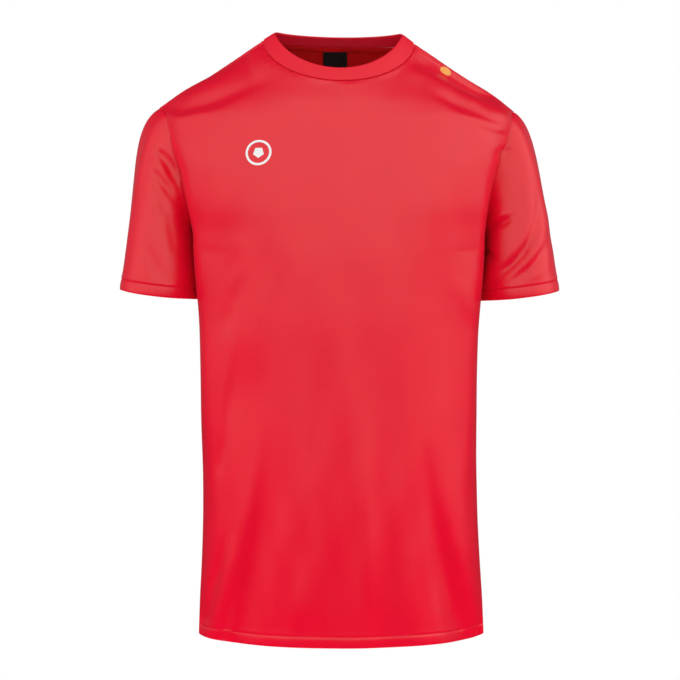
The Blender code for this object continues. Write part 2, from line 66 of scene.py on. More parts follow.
world = bpy.data.worlds.new("studio")
bpy.context.scene.world = world
world.use_nodes = True
nodes, links = world.node_tree.nodes, world.node_tree.links
direction = nodes.new("ShaderNodeTexCoord")


def studio_ramp(source, stops):
    """Grey levels along one direction of the studio, from -1 at one end to 1 at the other."""
    share = nodes.new("ShaderNodeMapRange")
    share.inputs["From Min"].default_value = -1.0
    links.new(source, share.inputs["Value"])
    ramp = nodes.new("ShaderNodeValToRGB")
    ramp.color_ramp.interpolation = "EASE"
    points = ramp.color_ramp.elements
    while len(points) < len(stops):
        points.new(0.5)
    for point, (place, level) in zip(points, stops):
        point.position = (place + 1) / 2
        point.color = (level, level, level, 1)
    links.new(share.outputs["Result"], ramp.inputs["Fac"])
    return ramp.outputs["Color"]


def along_axis(x, y, z):
    """How far a direction of the studio points along an axis: 1 along it, -1 against it."""
    dot = nodes.new("ShaderNodeVectorMath")
    dot.operation = "DOT_PRODUCT"
    dot.inputs[1].default_value = (x, y, z)
    links.new(direction.outputs["Generated"], dot.inputs[0])
    return dot.outputs["Value"]


def product(one, other):
    """Two of the studio's grey levels, multiplied."""
    multiply = nodes.new("ShaderNodeVectorMath")
    multiply.operation = "MULTIPLY"
    links.new(one, multiply.inputs[0])
    links.new(other, multiply.inputs[1])
    return multiply.outputs["Vector"]


# How bright the dome is from its lower edge to its top, from front to back, from the wearer's right
# to left, in the corner above and behind the jersey, and high on the wearer's right.
by_height = studio_ramp(
    along_axis(0, -0.04, 0.999),
    ((-1, 0.01), (-0.08, 0.01), (-0.04, 0.84), (0.2, 0.9), (0.5, 0.86), (0.9, 0.8), (1, 0.75)),
)
front_to_back = studio_ramp(
    along_axis(0, 1, 0), ((-1, 0.9), (-0.8, 0.94), (-0.2, 1.0), (0.2, 1.0), (0.42, 0.22), (1, 0.14))
)
right_to_left = studio_ramp(along_axis(1, 0, 0), ((-1, 0.9), (-0.6, 0.86), (0.5, 0.97), (1, 1.0)))
dark_corner = studio_ramp(
    along_axis(0, 0.6, 0.8), ((-1, 1), (0.7, 1), (0.79, 0.5), (0.86, 0.08), (1, 0.03))
)
dim_side = studio_ramp(
    along_axis(-0.81, 0.15, 0.56), ((-1, 1), (0.7, 1), (0.86, 0.7), (0.95, 0.55), (1, 0.55))
)
dome = nodes["Background"]
dome.inputs["Strength"].default_value = 1.1
corners = product(right_to_left, product(dark_corner, dim_side))
links.new(product(product(by_height, front_to_back), corners), dome.inputs["Color"])

# The camera sees plain white behind the jersey instead of the dome.
white = nodes.new("ShaderNodeBackground")
white.inputs["Color"].default_value = (1, 1, 1, 1)
ray = nodes.new("ShaderNodeLightPath")
either = nodes.new("ShaderNodeMixShader")
links.new(ray.outputs["Is Camera Ray"], either.inputs["Fac"])
links.new(dome.outputs["Background"], either.inputs[1])
links.new(white.outputs["Background"], either.inputs[2])
links.new(either.outputs["Shader"], nodes["World Output"].inputs["Surface"])

LAMP_SIZE = LAMP_AWAY = 3.0  # metres


def fill_lamp(name, place, radiance):
    """A large square lamp, placed in metres, that lights the cloth evenly and adds no glare."""
    lamp = bpy.data.objects.new(name, bpy.data.lights.new(name, "AREA"))
    lamp.data.size = LAMP_SIZE
    lamp.data.energy = radiance * math.pi * LAMP_SIZE**2
    lamp.location = place
    middle = Vector((0, 0, VIEW_HEIGHT * MM))
    lamp.rotation_euler = (middle - Vector(place)).to_track_quat("-Z", "Y").to_euler()
    lamp.visible_camera = False
    lamp.visible_glossy = False
    lamp.data.cycles.use_multiple_importance_sampling = False
    bpy.context.scene.collection.objects.link(lamp)


fill_lamp("fill_front", (0, -LAMP_AWAY, VIEW_HEIGHT * MM), 0.98)
fill_lamp("fill_back", (0, LAMP_AWAY, VIEW_HEIGHT * MM), 1.9)
fill_lamp("fill_left", (LAMP_AWAY, 0, VIEW_HEIGHT * MM), 1.6)
fill_lamp("fill_right", (-LAMP_AWAY, 0, VIEW_HEIGHT * MM), 1.95)
fill_lamp("fill_top", (0, 0, 2.6), 1.1)
fill_lamp("fill_below", (0, -0.5, -1.8), 1.2)

bpy.context.scene.view_settings.view_transform = "Standard"

FLOOR_LEVEL = -2.0  # metres
FLOOR_RADIUS = 0.6
bpy.ops.mesh.primitive_circle_add(
    vertices=96, radius=FLOOR_RADIUS, fill_type="NGON", location=(0, 0, FLOOR_LEVEL)
)
floor = bpy.context.object
floor.name = "floor"
pale = bpy.data.materials.new("pale_floor")
pale.use_nodes = True
pale_shader = pale.node_tree.nodes["Principled BSDF"]
pale_shader.inputs["Roughness"].default_value = 0.9
pale_shader.inputs["Specular IOR Level"].default_value = 0.1
mottle = pale.node_tree.nodes.new("ShaderNodeTexNoise")
mottle.inputs["Scale"].default_value = 3.0
tint = pale.node_tree.nodes.new("ShaderNodeMapRange")
tint.inputs["To Min"].default_value = 0.84
tint.inputs["To Max"].default_value = 0.88
pale.node_tree.links.new(mottle.outputs["Fac"], tint.inputs["Value"])
pale.node_tree.links.new(tint.outputs["Result"], pale_shader.inputs["Base Color"])
floor.data.materials.append(pale)

# ---- Front panel ----
# The front of the body, one piece of glossy interlock knit cut to the neck, shoulder, armhole and
# side seams. Its hem is turned up inside and stitched all round. The cloth pulls into drag folds
# over the shoulders, and into long soft folds that run down to the corners of the hem.
CLOTH = 0.9  # thickness
SEAM_GAP = 0.06  # left open between two pieces at a seam
HEM_HEIGHT = 12.5  # from the folded edge to the stitches
HEM_EXTRA = 0.8  # how much thicker the turned-up cloth is

# The body's rings, from the hem to the neck seam. Each has its height at the side line, its half
# widths on the wearer's right and left and what they lose away from the side line, its depths to
# the front and back, where its side line lies, the dip of its front, and how square it is.
BODY_COLUMNS = (
    "height", "right", "left", "soft_right", "soft_left", "front", "back", "seam_y", "dip", "square",
)
BODY_ROWS = (
    (-698, 166.5, 169.3, 0.0, 0.0, 117.0, 110.0, 0.0, -3.0, 1.92),
    (-660, 165.3, 167.8, 0.0, 0.0, 119.5, 109.0, 0.0, -1.5, 2.00),
    (-612, 163.0, 164.8, 0.0, 0.0, 121.5, 108.0, 0.0, 0.0, 2.08),
    (-565, 161.6, 162.4, 0.0, 0.0, 123.0, 107.0, 0.0, 0.0, 2.12),
    (-518, 161.4, 161.2, 0.0, 0.0, 124.0, 106.0, 0.0, 0.0, 2.16),
    (-470, 161.9, 160.5, 0.0, 0.0, 125.0, 106.0, 0.0, 0.0, 2.20),
    (-423, 162.4, 160.2, 0.0, 0.0, 126.5, 107.0, 0.0, 0.0, 2.24),
    (-376, 163.0, 160.2, 0.0, 0.0, 128.5, 109.0, 0.0, 0.0, 2.28),
    (-330, 163.4, 160.6, 0.0, 0.0, 130.5, 112.0, 0.0, 0.0, 2.32),
    (-300, 164.0, 161.6, 0.0, 0.0, 131.0, 114.0, 0.0, 0.0, 2.36),
    (-250, 167.5, 165.0, 0.0, 0.0, 131.0, 116.5, 0.0, 0.0, 2.45),
    (-230, 171.0, 168.5, 0.0, 0.0, 130.0, 117.0, 0.5, 0.0, 2.50),
    (-200, 180.5, 176.0, 0.0, 0.0, 128.0, 117.5, 1.0, 0.0, 2.58),
    (-170, 189.5, 183.5, 0.0, 0.0, 124.5, 117.0, 2.0, -1.0, 2.62),
    (-140, 199.0, 192.8, 0.0, 0.0, 119.0, 115.0, 3.0, -4.0, 2.62),
    (-110, 207.0, 201.5, 2.0, 0.0, 111.0, 110.5, 4.0, -10.0, 2.56),
    (-81, 214.0, 205.7, 10.0, 5.0, 102.0, 103.5, 5.0, -18.0, 2.46),
    (-64, 190.0, 184.0, 4.0, 2.5, 96.0, 98.0, 6.0, -25.0, 2.38),
    (-45, 158.0, 155.5, 1.0, 1.0, 89.0, 89.0, 7.0, -33.0, 2.27),
    (-22, 122.5, 120.0, 0.0, 0.0, 79.5, 74.5, 8.0, -43.5, 2.12),
    (0, 90.5, 87.5, 0.0, 0.0, 71.0, 55.0, 8.0, -54.7, 2.00),
)
BODY = {name: np.array(column, float) for name, column in zip(BODY_COLUMNS, zip(*BODY_ROWS))}
ROUNDED_BY = 0.3  # the share of a ring's depth over which it loses the soft part of its width
HEM_LEVEL = BODY["height"][0]
ARMPIT_LEVEL = -230.0
TIP_LEVEL = -81.0  # the shoulder's tip
NECK_LEVEL = 0.0
DIP_SHAPE = 1.05
SHOULDER_LEAN = 2.0  # the wearer's left shoulder hangs lower, and the right one higher
ARMHOLE_FRONT, ARMHOLE_BACK, ARMHOLE_SHAPE = 46.0, 48.0, 2.2
TIP_SEAM_FORWARD, NECK_SEAM_FORWARD = 9.0, 5.0  # the shoulder seam runs in front of the side line
STEP_ROUND, STEP_UP = 0.002, 0.4  # the way the cloth faces is taken over such steps


def eased(share):
    """A share between 0 and 1 that starts and ends softly."""
    share = np.clip(share, 0.0, 1.0)
    return share * share * (3.0 - 2.0 * share)


def mixed(start, end, share):
    return start + (end - start) * share


def unit(vectors):
    """The same directions with a length of 1."""
    return vectors / np.linalg.norm(vectors, axis=-1, keepdims=True)


def curve_through(xs, ys, at):
    """A smooth curve through the points (xs, ys), read at the given places."""
    slopes = np.gradient(ys, xs)
    at = np.asarray(at, float)
    k = np.clip(np.searchsorted(xs, at) - 1, 0, len(xs) - 2)
    step = xs[k + 1] - xs[k]
    t = (at - xs[k]) / step
    return (
        (1 + 2 * t) * (1 - t) ** 2 * ys[k]
        + t * (1 - t) ** 2 * step * slopes[k]
        + t * t * (3 - 2 * t) * ys[k + 1]
        + t * t * (t - 1) * step * slopes[k + 1]
    )


def ring_value(column, level):
    """One of the rings' sizes at any level."""
    return curve_through(BODY["height"], BODY[column], level)


def side_width(column, level):
    """Half width at the side line, in two curves that meet at the shoulder's tip."""
    tip = int(np.argmax(BODY["height"] >= TIP_LEVEL))
    below = curve_through(BODY["height"][: tip + 1], BODY[column][: tip + 1], level)
    above = curve_through(BODY["height"][tip:], BODY[column][tip:], level)
    return np.where(np.asarray(level) > TIP_LEVEL, above, below)


def torso(angle, level):
    """A point of the body. Angle 0 is the wearer's left side, 90 degrees the middle of the front."""
    angle, level = np.broadcast_arrays(np.asarray(angle, float), np.asarray(level, float))
    power = ring_value("square", level)
    cosine, sine = np.cos(angle), np.sin(angle)
    reach = (np.abs(cosine) ** power + np.abs(sine) ** power) ** (-1.0 / power)
    across, out = reach * cosine, reach * sine
    seam_y = ring_value("seam_y", level)
    depth = np.where(
        out > 0, ring_value("front", level) + seam_y, ring_value("back", level) - seam_y
    )
    side = np.where(across > 0, side_width("left", level), side_width("right", level))
    soft = np.where(
        across > 0,
        ring_value("left", level) - ring_value("soft_left", level),
        ring_value("right", level) - ring_value("soft_right", level),
    )
    half = mixed(side, soft, eased(np.abs(out) / ROUNDED_BY))
    dip = ring_value("dip", level) * np.clip(out, 0.0, 1.0) ** DIP_SHAPE
    lean = SHOULDER_LEAN * across * eased((level - ARMPIT_LEVEL) / (TIP_LEVEL - ARMPIT_LEVEL))
    return np.stack([half * across, seam_y - depth * out, level + dip - lean], axis=-1)


def torso_normals(angle, level):
    """Which way the body's cloth faces at each point."""
    across = torso(angle - STEP_ROUND, level) - torso(angle + STEP_ROUND, level)
    return unit(np.cross(across, torso(angle, level + STEP_UP) - torso(angle, level - STEP_UP)))


def angle_at(forward, level):
    """The angle at which a ring is this far in front of the side line, or behind it if negative."""
    seam_y, power = ring_value("seam_y", level), ring_value("square", level)
    depth = np.where(
        forward > 0, ring_value("front", level) + seam_y, ring_value("back", level) - seam_y
    )
    share = np.abs(forward) / depth
    return np.arctan2(np.sign(forward) * share, (1.0 - share**power) ** (1.0 / power))


def seam_forward(level, facing):
    """How far the edge of the front (facing 1) or the back (facing -1) is in front of the side line."""
    up = np.clip((level - ARMPIT_LEVEL) / (TIP_LEVEL - ARMPIT_LEVEL), 0.0, 1.0)
    reach = ARMHOLE_FRONT if facing > 0 else ARMHOLE_BACK
    oval = (1.0 - np.abs(2.0 * up - 1.0) ** ARMHOLE_SHAPE) ** (1.0 / ARMHOLE_SHAPE)
    along = np.clip((level - TIP_LEVEL) / (NECK_LEVEL - TIP_LEVEL), 0.0, 1.0)
    forward = mixed(TIP_SEAM_FORWARD, NECK_SEAM_FORWARD, along)
    return facing * (reach * oval + SEAM_GAP / 2) + forward * up * up


# The rows and columns stand close beside seams and hem stitching, and about 3 mm apart elsewhere.
BESIDE_HEM = (0.0, 0.5, 1.4, 3.0, 5.5, 8.0, 10.0, 11.2, 11.9, 12.5, 13.1, 13.8, 14.8, 16.2, 18.2)
BESIDE_SEAM = (0.0, 0.45, 0.95, 1.55, 2.4, 3.6, 5.2, 7.2)
BODY_STEPS, ARMHOLE_STEPS, SHOULDER_STEPS = 138, 72, 34
HALF_COLUMNS = 86
HALF_PANEL = 270.0  # about how far it is from a side seam to the middle of a panel
MIDDLE_AT_ARMPIT, MIDDLE_AT_TIP = -262.0, -52.0  # levels in a panel's middle of the rows that end there
NECK_SLANT = 0.7  # how much lower a point is for each mm that it is away from the neck seam


def panel_grid(facing):
    """The angles and levels of a panel's points. They follow the seams' run at the edges."""
    hem = HEM_LEVEL + np.array(BESIDE_HEM)
    body = np.linspace(hem[-1], ARMPIT_LEVEL, BODY_STEPS + 1)[1:]
    turn = (1.0 - np.cos(np.pi * np.arange(1, ARMHOLE_STEPS + 1) / ARMHOLE_STEPS)) / 2
    armhole = mixed(ARMPIT_LEVEL, TIP_LEVEL, turn)
    neck = NECK_LEVEL - np.array(BESIDE_SEAM[::-1]) * NECK_SLANT
    shoulder = np.linspace(TIP_LEVEL, neck[0], SHOULDER_STEPS + 1)[1:-1]
    at_edge = np.concatenate([hem, body, armhole, shoulder, neck])
    armpit = len(hem) + len(body) - 1
    tip = armpit + len(armhole)
    known = [*range(len(hem)), armpit, tip, *range(len(at_edge) - len(neck), len(at_edge))]
    in_middle = at_edge[known]
    in_middle[len(hem) : len(hem) + 2] = MIDDLE_AT_ARMPIT, MIDDLE_AT_TIP
    middle = np.interp(np.arange(len(at_edge)), known, in_middle)
    edge = facing * angle_at(seam_forward(at_edge, facing), at_edge)
    near = np.array(BESIDE_SEAM) / HALF_PANEL
    share = np.concatenate([near, np.linspace(near[-1], 1.0, HALF_COLUMNS - len(near) + 1)[1:]])
    pull = (1.0 - share) ** 2
    half = edge[:, None] * pull + np.pi / 2 * share
    angle = np.concatenate([half, np.pi - half[:, -2::-1]], axis=1)
    level = middle[:, None] + (at_edge - middle)[:, None] * pull
    level = np.concatenate([level, level[:, -2::-1]], axis=1)
    return (angle[:, ::-1], level) if facing > 0 else (-angle, level)


def run_lengths(grid, axis):
    """How far each point of a grid is from the grid's first edge, along its row or column."""
    steps = np.linalg.norm(np.diff(grid, axis=axis), axis=-1)
    pad = [(1, 0), (0, 0)] if axis == 0 else [(0, 0), (1, 0)]
    return np.pad(np.cumsum(steps, axis=axis), pad)


# Each fold runs from (x0, z0) through (xm, zm) to (x1, z1), as it is seen from the front, or from
# the back, at VIEW_DISTANCE. w0 and w1 are its half widths at the ends. depth is a trough's, and a
# negative one makes a ridge. lip is the share of the depth that stands up beside it, on the left
# of its run if positive and on the right if negative. slack is how much wider the fold is on one
# side, with the same signs. Over the shares rise and fall of its run, a fold grows to its depth at
# the start and dies away at the end. A fall of 0 lets it run on. Folds cross the seams, so the
# front's table has those of the sleeves' fronts too.
FOLD_COLUMNS = ("x0", "z0", "xm", "zm", "x1", "z1", "w0", "w1", "depth", "lip", "slack", "rise", "fall")
FRONT_FOLDS = (
    # the wearer's right shoulder
    (-212, -82, -150, -69, -66, -34, 8, 7, 4.6, 0.3, 0, 0.2, 0.6),
    (-190, -64, -139, -42, -100, -22, 8, 9, -2.0, 0, 0, 0.3, 0.4),
    (-103, -6, -100, -26, -91, -56, 6, 7, -3.2, 0, 1.4, 0.2, 0.5),
    # the wearer's left shoulder
    (80, -16, 122, -36, 190, -72, 9, 7, 5.0, -0.3, 0, 0.3, 0.2),
    (100, -57, 150, -78, 204, -100, 6, 6, 2.4, -0.3, 0, 0.4, 0.2),
    (150, -98, 177, -108, 200, -116, 5, 5, 1.4, -0.2, 0, 0.4, 0.3),
    # the wearer's right sleeve
    (-223, -128, -204, -143, -187, -182, 5, 8, 4.2, -0.2, 0, 0.3, 0.4),
    (-225, -150, -210, -167, -189, -198, 5, 7, 2.8, -0.2, 0, 0.35, 0.4),
    (-229, -162, -213, -187, -193, -218, 5, 7, 1.8, -0.2, 0, 0.4, 0.4),
    (-227, -232, -221, -259, -209, -284, 6, 6, 1.6, 0, 0, 0.5, 0.4),
    (-206, -200, -198, -228, -193, -262, 6, 7, 1.4, 0, 0, 0.4, 0.4),
    # the wearer's left sleeve
    (185, -142, 196, -131, 212, -130, 5, 5, 2.4, 0.3, 0, 0.4, 0.5),
    (172, -216, 192, -214, 208, -202, 5, 5, 3.2, 0.3, 0, 0.3, 0.5),
    (226, -160, 228, -228, 176, -283, 5, 6, 3.6, 0.35, 0, 0.4, 0.2),
    (241, -232, 230, -262, 194, -286, 5, 6, 2.2, 0.3, 0, 0.4, 0.3),
    (214, -150, 220, -180, 221, -206, 6, 6, -1.2, 0, 0, 0.5, 0.5),
    (166, -250, 175, -252, 186, -262, 5, 5, 2.4, 0, 0, 0.3, 0.4),
    # down the wearer's right side of the body
    (-112, -270, -126, -310, -136, -360, 9, 9, 1.6, 0, 0, 0.5, 0.4),
    (-117, -345, -132, -440, -153, -590, 5.5, 6, 3.0, 0, 5, 0.5, 0.75),
    (-133, -450, -139, -485, -144, -518, 4.5, 4.5, 1.3, 0, 0, 0.6, 0.3),
    (-85, -430, -101, -590, -138, -735, 4, 18, 22, 0, 0.6, 1.2, 0),
    (-130, -560, -149, -640, -166, -700, 6, 8, 6, 0, 0, 0.5, 0.2),
    (-122, -236, -127, -270, -130, -320, 9, 9, 0.8, 0, 0, 0.5, 0.5),
    (-82, -220, -86, -262, -92, -316, 9, 10, 0.8, 0, 0, 0.5, 0.5),
    # down the wearer's left side of the body
    (101, -460, 120, -605, 166, -735, 5, 24, 26, 0, 0, 1.1, 0),
    (140, -530, 148, -575, 158, -620, 4, 4, -0.9, 0, 0, 0.5, 0.3),
    (134, -270, 144, -305, 156, -345, 8, 7, -0.8, 0, 0, 0.5, 0.4),
    # the middle
    (0, -400, -8, -560, -16, -735, 8, 30, 15, 0, 0, 1.6, 0),
    (32, -430, 33, -560, 34, -690, 6, 7, -2.0, 0, 0, 0.5, 0.3),
    (54, -430, 56, -590, 56, -735, 9, 24, 16, 0, 0, 1.6, 0),
    (-42, -600, -44, -650, -50, -700, 12, 14, -1.4, 0, 0, 0.7, 0.3),
)
FOLD_STEPS = 24
LIP_MIDDLE, LIP_WIDTH = 1.9, 1.1  # in half widths of the fold


def relief(across, up, folds):
    """How far inwards the cloth goes at each place, for all the folds of a table."""
    inwards = np.zeros(across.shape)
    for row in folds:
        fold = dict(zip(FOLD_COLUMNS, row))
        ends = np.array([[fold["x0"], fold["z0"]], [fold["x1"], fold["z1"]]], float)
        bend = 2 * np.array([fold["xm"], fold["zm"]]) - ends.sum(axis=0) / 2
        t = np.linspace(0, 1, FOLD_STEPS + 1)[:, None]
        path = (1 - t) ** 2 * ends[0] + 2 * t * (1 - t) * bend + t**2 * ends[1]
        margin = 3 * (1 + abs(fold["slack"])) * max(fold["w0"], fold["w1"])
        low, high = path.min(axis=0) - margin, path.max(axis=0) + margin
        near = (across > low[0]) & (across < high[0]) & (up > low[1]) & (up < high[1])
        if not near.any():
            continue
        place = np.stack([across[near], up[near]], axis=-1)[:, None]
        run = np.diff(path, axis=0)
        away = place - path[:-1]
        share = np.clip((away * run).sum(-1) / (run**2).sum(-1), 0, 1)
        off = away - share[..., None] * run
        distance = np.linalg.norm(off, axis=-1)
        k = distance.argmin(axis=1)
        pick = np.arange(len(k))
        side = np.sign(run[k, 0] * off[pick, k, 1] - run[k, 1] * off[pick, k, 0])
        along = (k + share[pick, k]) / FOLD_STEPS
        width = mixed(fold["w0"], fold["w1"], along)
        width = width * np.where(side * fold["slack"] > 0, 1 + abs(fold["slack"]), 1.0)
        q = side * distance[pick, k] / width
        from_lip = (q - LIP_MIDDLE * np.sign(fold["lip"])) / LIP_WIDTH
        section = np.exp(-(q**2)) - abs(fold["lip"]) * np.exp(-(from_lip**2))
        taper = eased(along / fold["rise"])
        if fold["fall"] > 0:
            taper = taper * eased((1 - along) / fold["fall"])
        inwards[near] += fold["depth"] * section * taper
    return inwards


def as_seen(points, facing):
    """Where a point is seen from VIEW_DISTANCE in front, or behind, on the plane of the side seams."""
    scale = VIEW_DISTANCE / (VIEW_DISTANCE + facing * points[..., 1])
    return points[..., 0] * scale, (points[..., 2] - VIEW_HEIGHT) * scale + VIEW_HEIGHT


SEAM_DIP, SEAM_DIP_WIDTH = 0.8, 1.0  # the cloth rolls in beside a seam
PUCKER, PUCKER_LENGTH, PUCKER_FROM, PUCKER_REACH = 0.16, 11.0, 2.5, 7.0  # the thread gathers it
HEM_GROOVE, HEM_GROOVE_WIDTH = 0.6, 0.9  # at the hem's stitches
HEM_SWELL, HEM_SWELL_WIDTH, HEM_SWELL_ABOVE = 0.22, 1.7, 3.0  # above the stitches
HEM_PUCKER, HEM_PUCKER_LENGTH = 0.05, 14.0
HEM_BAND, HEM_EDGE, HEM_EDGE_WIDTH = 0.35, 0.35, 0.6  # below them, and at the folded edge
HEM_EXTRA_ENDS, HEM_EXTRA_STEP = 0.8, 1.2  # the turned-up cloth ends just above the stitches


def seam_roll(distance, along):
    """How far inwards the cloth goes beside a seam. The second sine makes the puckers uneven."""
    wave = np.sin(along * 2 * np.pi / PUCKER_LENGTH + 1.7 * np.sin(along / 23.0))
    puckers = PUCKER * wave * np.exp(-distance / PUCKER_REACH) * eased(distance / PUCKER_FROM)
    return SEAM_DIP * np.exp(-((distance / SEAM_DIP_WIDTH) ** 2)) + puckers


def hem_roll(height, along):
    """How far inwards the cloth goes at a height above a hem's edge.

    The stitches pull it in, it swells above them, and the turned-up band is round.
    """
    wave = np.sin(along * 2 * np.pi / HEM_PUCKER_LENGTH + 2.1 * np.sin(along / 31.0))
    groove = HEM_GROOVE * np.exp(-(((height - HEM_HEIGHT) / HEM_GROOVE_WIDTH) ** 2))
    from_swell = (height - HEM_HEIGHT - HEM_SWELL_ABOVE) / HEM_SWELL_WIDTH
    swell = (HEM_SWELL + HEM_PUCKER * wave) * np.exp(-(from_swell**2))
    band = HEM_BAND * np.sin(np.pi * np.clip(height / HEM_HEIGHT, 0, 1))
    edge = HEM_EDGE * np.exp(-((height / HEM_EDGE_WIDTH) ** 2))
    return groove + edge - swell - band


def hem_thickness(height):
    """The thickness of the cloth at a height above a hem's edge: more up to the stitches."""
    return CLOTH + HEM_EXTRA * eased((HEM_HEIGHT + HEM_EXTRA_ENDS - height) / HEM_EXTRA_STEP)


WAVES, WAVE_DEPTH, WAVE_SWAY = 14, 0.002, 1.6  # the depth is a share of a wave's length
WAVE_LENGTHS, WAVE_DRIFTS, WAVE_TILT = (34, 100), (380, 760), 0.1
WAVES_GROW, WAVES_GROW_FROM, WAVES_GROW_OVER = 0.9, -330.0, 250.0


def soft_waves(across, up, seed):
    """The faint unevenness of cloth that hangs: long upright waves, stronger near the hem."""
    chance = np.random.default_rng(seed)
    waves = np.zeros(across.shape)
    for _ in range(WAVES):
        length, tilt = chance.uniform(*WAVE_LENGTHS), chance.normal(0, WAVE_TILT)
        phase, drift = chance.uniform(0, 2 * np.pi), chance.uniform(*WAVE_DRIFTS)
        run = across * math.cos(tilt) + up * math.sin(tilt)
        sway = WAVE_SWAY * np.sin(up / drift * 2 * np.pi + phase)
        waves += np.sin(run * 2 * np.pi / length + phase + sway) * length
    return waves * WAVE_DEPTH * (1 + WAVES_GROW * eased((WAVES_GROW_FROM - up) / WAVES_GROW_OVER))


def quads(grid):
    """The four corners of each cell of a grid."""
    return np.stack([grid[:-1, :-1], grid[:-1, 1:], grid[1:, 1:], grid[1:, :-1]], axis=2)


SHARP_FROM = math.radians(55)  # edges that turn by more than this aren't shaded smooth


def shell(name, outer, thickness, normals, finish, closed=False, uv=None, lining=None, lined=None):
    """A thin closed wall of cloth from a grid of its outer points, with a texture map in metres.

    The lining is the finish of the wall's other side, in the rows that lined picks.
    """
    rows, columns = outer.shape[:2]
    inner = outer - normals * thickness[..., None]
    outside = np.arange(rows * columns).reshape(rows, columns)
    inside = outside + rows * columns
    if uv is None:
        uv = np.stack([run_lengths(outer, 1), run_lengths(outer, 0)], axis=-1)
    if closed:
        outside, inside = (np.concatenate([g, g[:, :1]], axis=1) for g in (outside, inside))
        girth = np.linalg.norm(outer[:, 0] - outer[:, -1], axis=-1)
        last = uv[:, -1:] + np.stack([girth, 0 * girth], axis=-1)[:, None]
        uv = np.concatenate([uv, last], axis=1)

    faces = [quads(outside).reshape(-1, 4), quads(inside)[..., ::-1].reshape(-1, 4)]
    corners = [quads(uv).reshape(-1, 4, 2), quads(uv)[:, :, ::-1].reshape(-1, 4, 2)]
    rims = [(outside[0], inside[0], uv[0]), (inside[-1], outside[-1], uv[-1])]
    if not closed:
        rims += [(inside[:, 0], outside[:, 0], uv[:, 0]), (outside[:, -1], inside[:, -1], uv[:, -1])]
    for one, other, place in rims:
        faces.append(np.stack([one[1:], one[:-1], other[:-1], other[1:]], axis=1))
        corners.append(np.stack([place[1:], place[:-1], place[:-1], place[1:]], axis=1))
    points = np.concatenate([outer.reshape(-1, 3), inner.reshape(-1, 3)]) * MM
    made = sewn(name, points, np.concatenate(faces), np.concatenate(corners) * MM, finish)
    if lining:
        made.data.materials.append(lining)
        second = np.zeros(quads(inside).shape[:2], int)
        second[lined] = 1
        index = np.zeros(len(made.data.polygons), int)
        index[second.size : 2 * second.size] = second.ravel()
        made.data.polygons.foreach_set("material_index", index)
    return made


def sewn(name, points, faces, corners, finish):
    """A piece from its points and faces, both in metres, which rides on the jersey."""
    mesh = bpy.data.meshes.new(name)
    mesh.from_pydata(points.tolist(), [], faces.tolist())
    mesh.uv_layers.new(name="cloth").data.foreach_set("uv", corners.ravel())
    mesh.shade_smooth()
    mesh.set_sharp_from_angle(angle=SHARP_FROM)
    mesh.materials.append(finish)
    made = bpy.data.objects.new(name, mesh)
    bpy.context.scene.collection.objects.link(made)
    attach(made, "root")
    return made


CLOTH_RED = (0.765, 0.0015, 0.0245)
INSIDE_RED_SHADED = (0.66, 0.0065, 0.009)  # the knit's dull side, less glossy and painted darker for the shade inside the jersey
WALE, COURSE = 0.00085, 0.0007  # metres: the knit's columns and rows of loops


